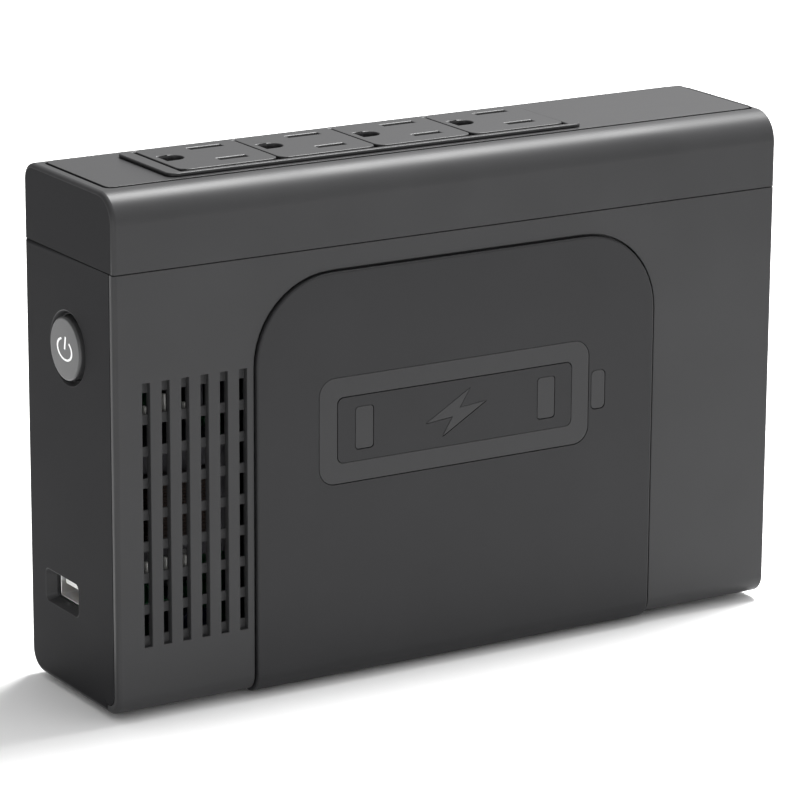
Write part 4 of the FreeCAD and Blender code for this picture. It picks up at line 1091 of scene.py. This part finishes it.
class UPS_OT_electronics(bpy.types.Operator):
    """Capacitors, relays and sounder, and the finishes of the boards, transformer and contacts"""
    bl_idname = "ups.electronics"
    bl_label = "Electronics"

    def execute(self, context):
        board_y = span("capacitors")[1].y
        cans = []
        for x, z, radius, tall in ((LEFT + 28.0, BASE + 12.5, 5.0, 20.0),
                                   (RIGHT - 36.2, BASE + 78.0, 5.2, 21.0),
                                   (RIGHT - 36.2, BASE + 64.0, 5.2, 21.0),
                                   (RIGHT - 36.2, BASE + 50.0, 5.2, 21.0)):
            tall -= 0.02
            cans.append(turned([(0, 0), (0, radius, 0.3), (1.6, radius, 0.2),
                                (2.2, radius - 0.5, 0.2), (2.8, radius, 0.2), (tall, radius, 0.5),
                                (tall, radius - 0.8), (tall - 0.25, radius - 0.9),
                                (tall - 0.25, 0)], (x, board_y, z), "-y", steps=40))
        finish_piece("capacitor_cans", joined(*cans),
                     moulded_plastic("capacitor sleeve", (0.012, 0.014, 0.035), 0.25, 0.04),
                     "capacitors")
        low, high = span("transfer_relays")
        cases = [block((x, low.y, low.z), (x + 11.0, high.y, high.z), 0.6)
                 for x in (low.x, high.x - 11.0)]
        finish_piece("relay_cases", joined(*cases),
                     moulded_plastic("relay blue", (0.02, 0.07, 0.24), 0.38, 0.06),
                     "transfer_relays")
        low, high = span("buzzer")
        tall = high.y - low.y
        x, _, z = middle_of("buzzer")
        sounder = turned([(0, 0), (0, 5.8, 0.3), (tall, 5.8, 0.6), (tall, 0.9, 0.1),
                          (tall - 3.0, 0.9), (tall - 3.0, 0)], (x, high.y, z), "-y", steps=40)
        finish_piece("sounder_case", sounder, black_insulator(), "buzzer")
        low, high = span("power_transistors")
        packs = [block((low.x, low.y, z), (high.x, high.y, z + 8.0), 0.35)
                 for z in (low.z, high.z - 8.0)]
        finish_piece("transistor_packs", joined(*packs), black_insulator(), "power_transistors")
        dress(solder_mask(), "main_board", "control_board", "usb_board")
        dress(brass(), "neutral_contact_bar", "hot_contact_bar", "ground_contact_bar")
        dress(black_insulator(), "outlet_base", "outlet_base_cover", "switch_body",
              "switch_plunger")
        dress(moulded_plastic("natural nylon", (0.55, 0.55, 0.53), 0.45, 0.05, 0.04), "lead_combs")
        dress(ridged_metal("stacked steel", "Y", 620.0, 0.6, (0.06, 0.06, 0.065), 0.5, 300.0,
                           (0.40, 0.60), (0.5, 0.0001), 0.8), "transformer_core")
        # The winding's near-black base colour is painted shade: it darkens the enamelled copper so
        # the winding reads as the shade inside the casing.
        dress(ridged_metal("enamelled wire", "Z", 420.0, 0.4, (0.020, 0.011, 0.008), 0.45, 400.0,
                           (0.25, 0.40), (0.7, 0.0002), 0.6), "transformer_winding")
        dress(rolled_metal("bright steel", (0.62, 0.62, 0.64), 0.22, (30.0, 1.0, 1.0)),
              "transformer_strap")
        dress(rolled_metal("black anodised aluminium", (0.05, 0.05, 0.055), 0.38), "heatsink")
        return {"FINISHED"}


# ---------------------------------------------------------------- stage
class UPS_OT_stage(bpy.types.Operator):
    """Pale floor, plain soft light and the camera"""
    bl_idname = "ups.stage"
    bl_label = "Stage"

    def execute(self, context):
        stage = context.scene.ups_stage
        bm = bmesh.new()
        bmesh.ops.create_grid(bm, x_segments=1, y_segments=1, size=6.0)
        mesh = bpy.data.meshes.new("floor")
        bm.to_mesh(mesh)
        bm.free()
        paper = bpy.data.materials.new("floor paper")
        paper.use_nodes = True
        wire(paper.node_tree.nodes["Principled BSDF"], {
            "Base Color": (*stage.floor, 1), "Roughness": 0.9, "Specular IOR Level": 0.1})
        mesh.materials.append(paper)
        add_object("floor", mesh)

        world = bpy.data.worlds.new("studio")
        context.scene.world = world
        world.use_nodes = True
        background = world.node_tree.nodes["Background"]
        around = add_node(background, "TexCoord", {})
        side = world.node_tree.nodes.new("ShaderNodeVectorMath")
        side.operation = "DOT_PRODUCT"
        wire(side, {0: around.outputs["Generated"], 1: (0.80, -0.55, 0.20)})
        level = add_node(background, "MapRange", {
            "Value": side.outputs["Value"], "From Min": -1.0, "From Max": 0.9,
            "To Min": 0.25 * stage.surround, "To Max": 1.35 * stage.surround})
        wire(background, {"Strength": level.outputs["Result"], "Color": (1, 1, 1, 1)})

        self.soft_light("key light", (0.385, 0.15, 0.90), (0.0, 0.0, 0.10), 0.42, stage.key)
        self.soft_light("edge light", (-0.75, -0.50, 0.16), (0.0, 0.0, 0.06), 0.25, stage.edge)
        context.scene.view_settings.view_transform = "Standard"

        camera = add_object("camera", bpy.data.cameras.new("camera"))
        camera.data.lens = 190.0
        camera.data.sensor_width = 36.0
        yaw, pitch, roll = (math.radians(value) for value in (31.508, 15.575, 0.30))
        camera.matrix_world = (Matrix.Translation((-0.49942, -0.81099, 0.32339)) @
                               Matrix.Rotation(-yaw, 4, "Z") @
                               Matrix.Rotation(math.pi / 2 - pitch, 4, "X") @
                               Matrix.Rotation(roll, 4, "Z"))
        context.scene.camera = camera
        return {"FINISHED"}

    def soft_light(self, name, place, target, size, power):
        lamp = bpy.data.lights.new(name, "AREA")
        lamp.size = size
        lamp.energy = power
        holder = add_object(name, lamp)
        holder.location = place
        holder.rotation_mode = "QUATERNION"
        holder.rotation_quaternion = (Vector(target) - Vector(place)).to_track_quat("-Z", "Y")


# ---------------------------------------------------------------- panel, registration and making
PIECES = (UPS_OT_front_shell, UPS_OT_rear_shell, UPS_OT_top_cover, UPS_OT_top_plate, UPS_OT_outlets,
          UPS_OT_front_panel, UPS_OT_power_button, UPS_OT_usb_port, UPS_OT_inlet_and_breaker,
          UPS_OT_screws_and_feet, UPS_OT_battery, UPS_OT_electronics, UPS_OT_stage)
GROUPS = {"ups_casing": UPS_PG_casing, "ups_vents": UPS_PG_vents, "ups_panel": UPS_PG_panel,
          "ups_top": UPS_PG_top, "ups_stage": UPS_PG_stage}


class UPS_PT_sidebar(bpy.types.Panel):
    """Sizes, colours and making of the power supply"""
    bl_idname = "UPS_PT_sidebar"
    bl_label = "Power Supply"
    bl_space_type = "VIEW_3D"
    bl_region_type = "UI"
    bl_category = "Power Supply"

    def draw(self, context):
        layout = self.layout
        for name, group in GROUPS.items():
            settings = getattr(context.scene, name)
            box = layout.box()
            box.label(text=group.__doc__)
            for key in group.__annotations__:
                box.prop(settings, key)
        for piece in PIECES:
            layout.operator(piece.bl_idname)


CLASSES = tuple(GROUPS.values()) + PIECES + (UPS_PT_sidebar,)


def register():
    for item in CLASSES:
        bpy.utils.register_class(item)
    for name, group in GROUPS.items():
        setattr(bpy.types.Scene, name, PointerProperty(type=group))


def unregister():
    for name in GROUPS:
        delattr(bpy.types.Scene, name)
    for item in reversed(CLASSES):
        bpy.utils.unregister_class(item)


def main():
    register()
    for piece in PIECES:
        group, operator = piece.bl_idname.split(".")
        getattr(getattr(bpy.ops, group), operator)()


if __name__ == "__main__":
    main()
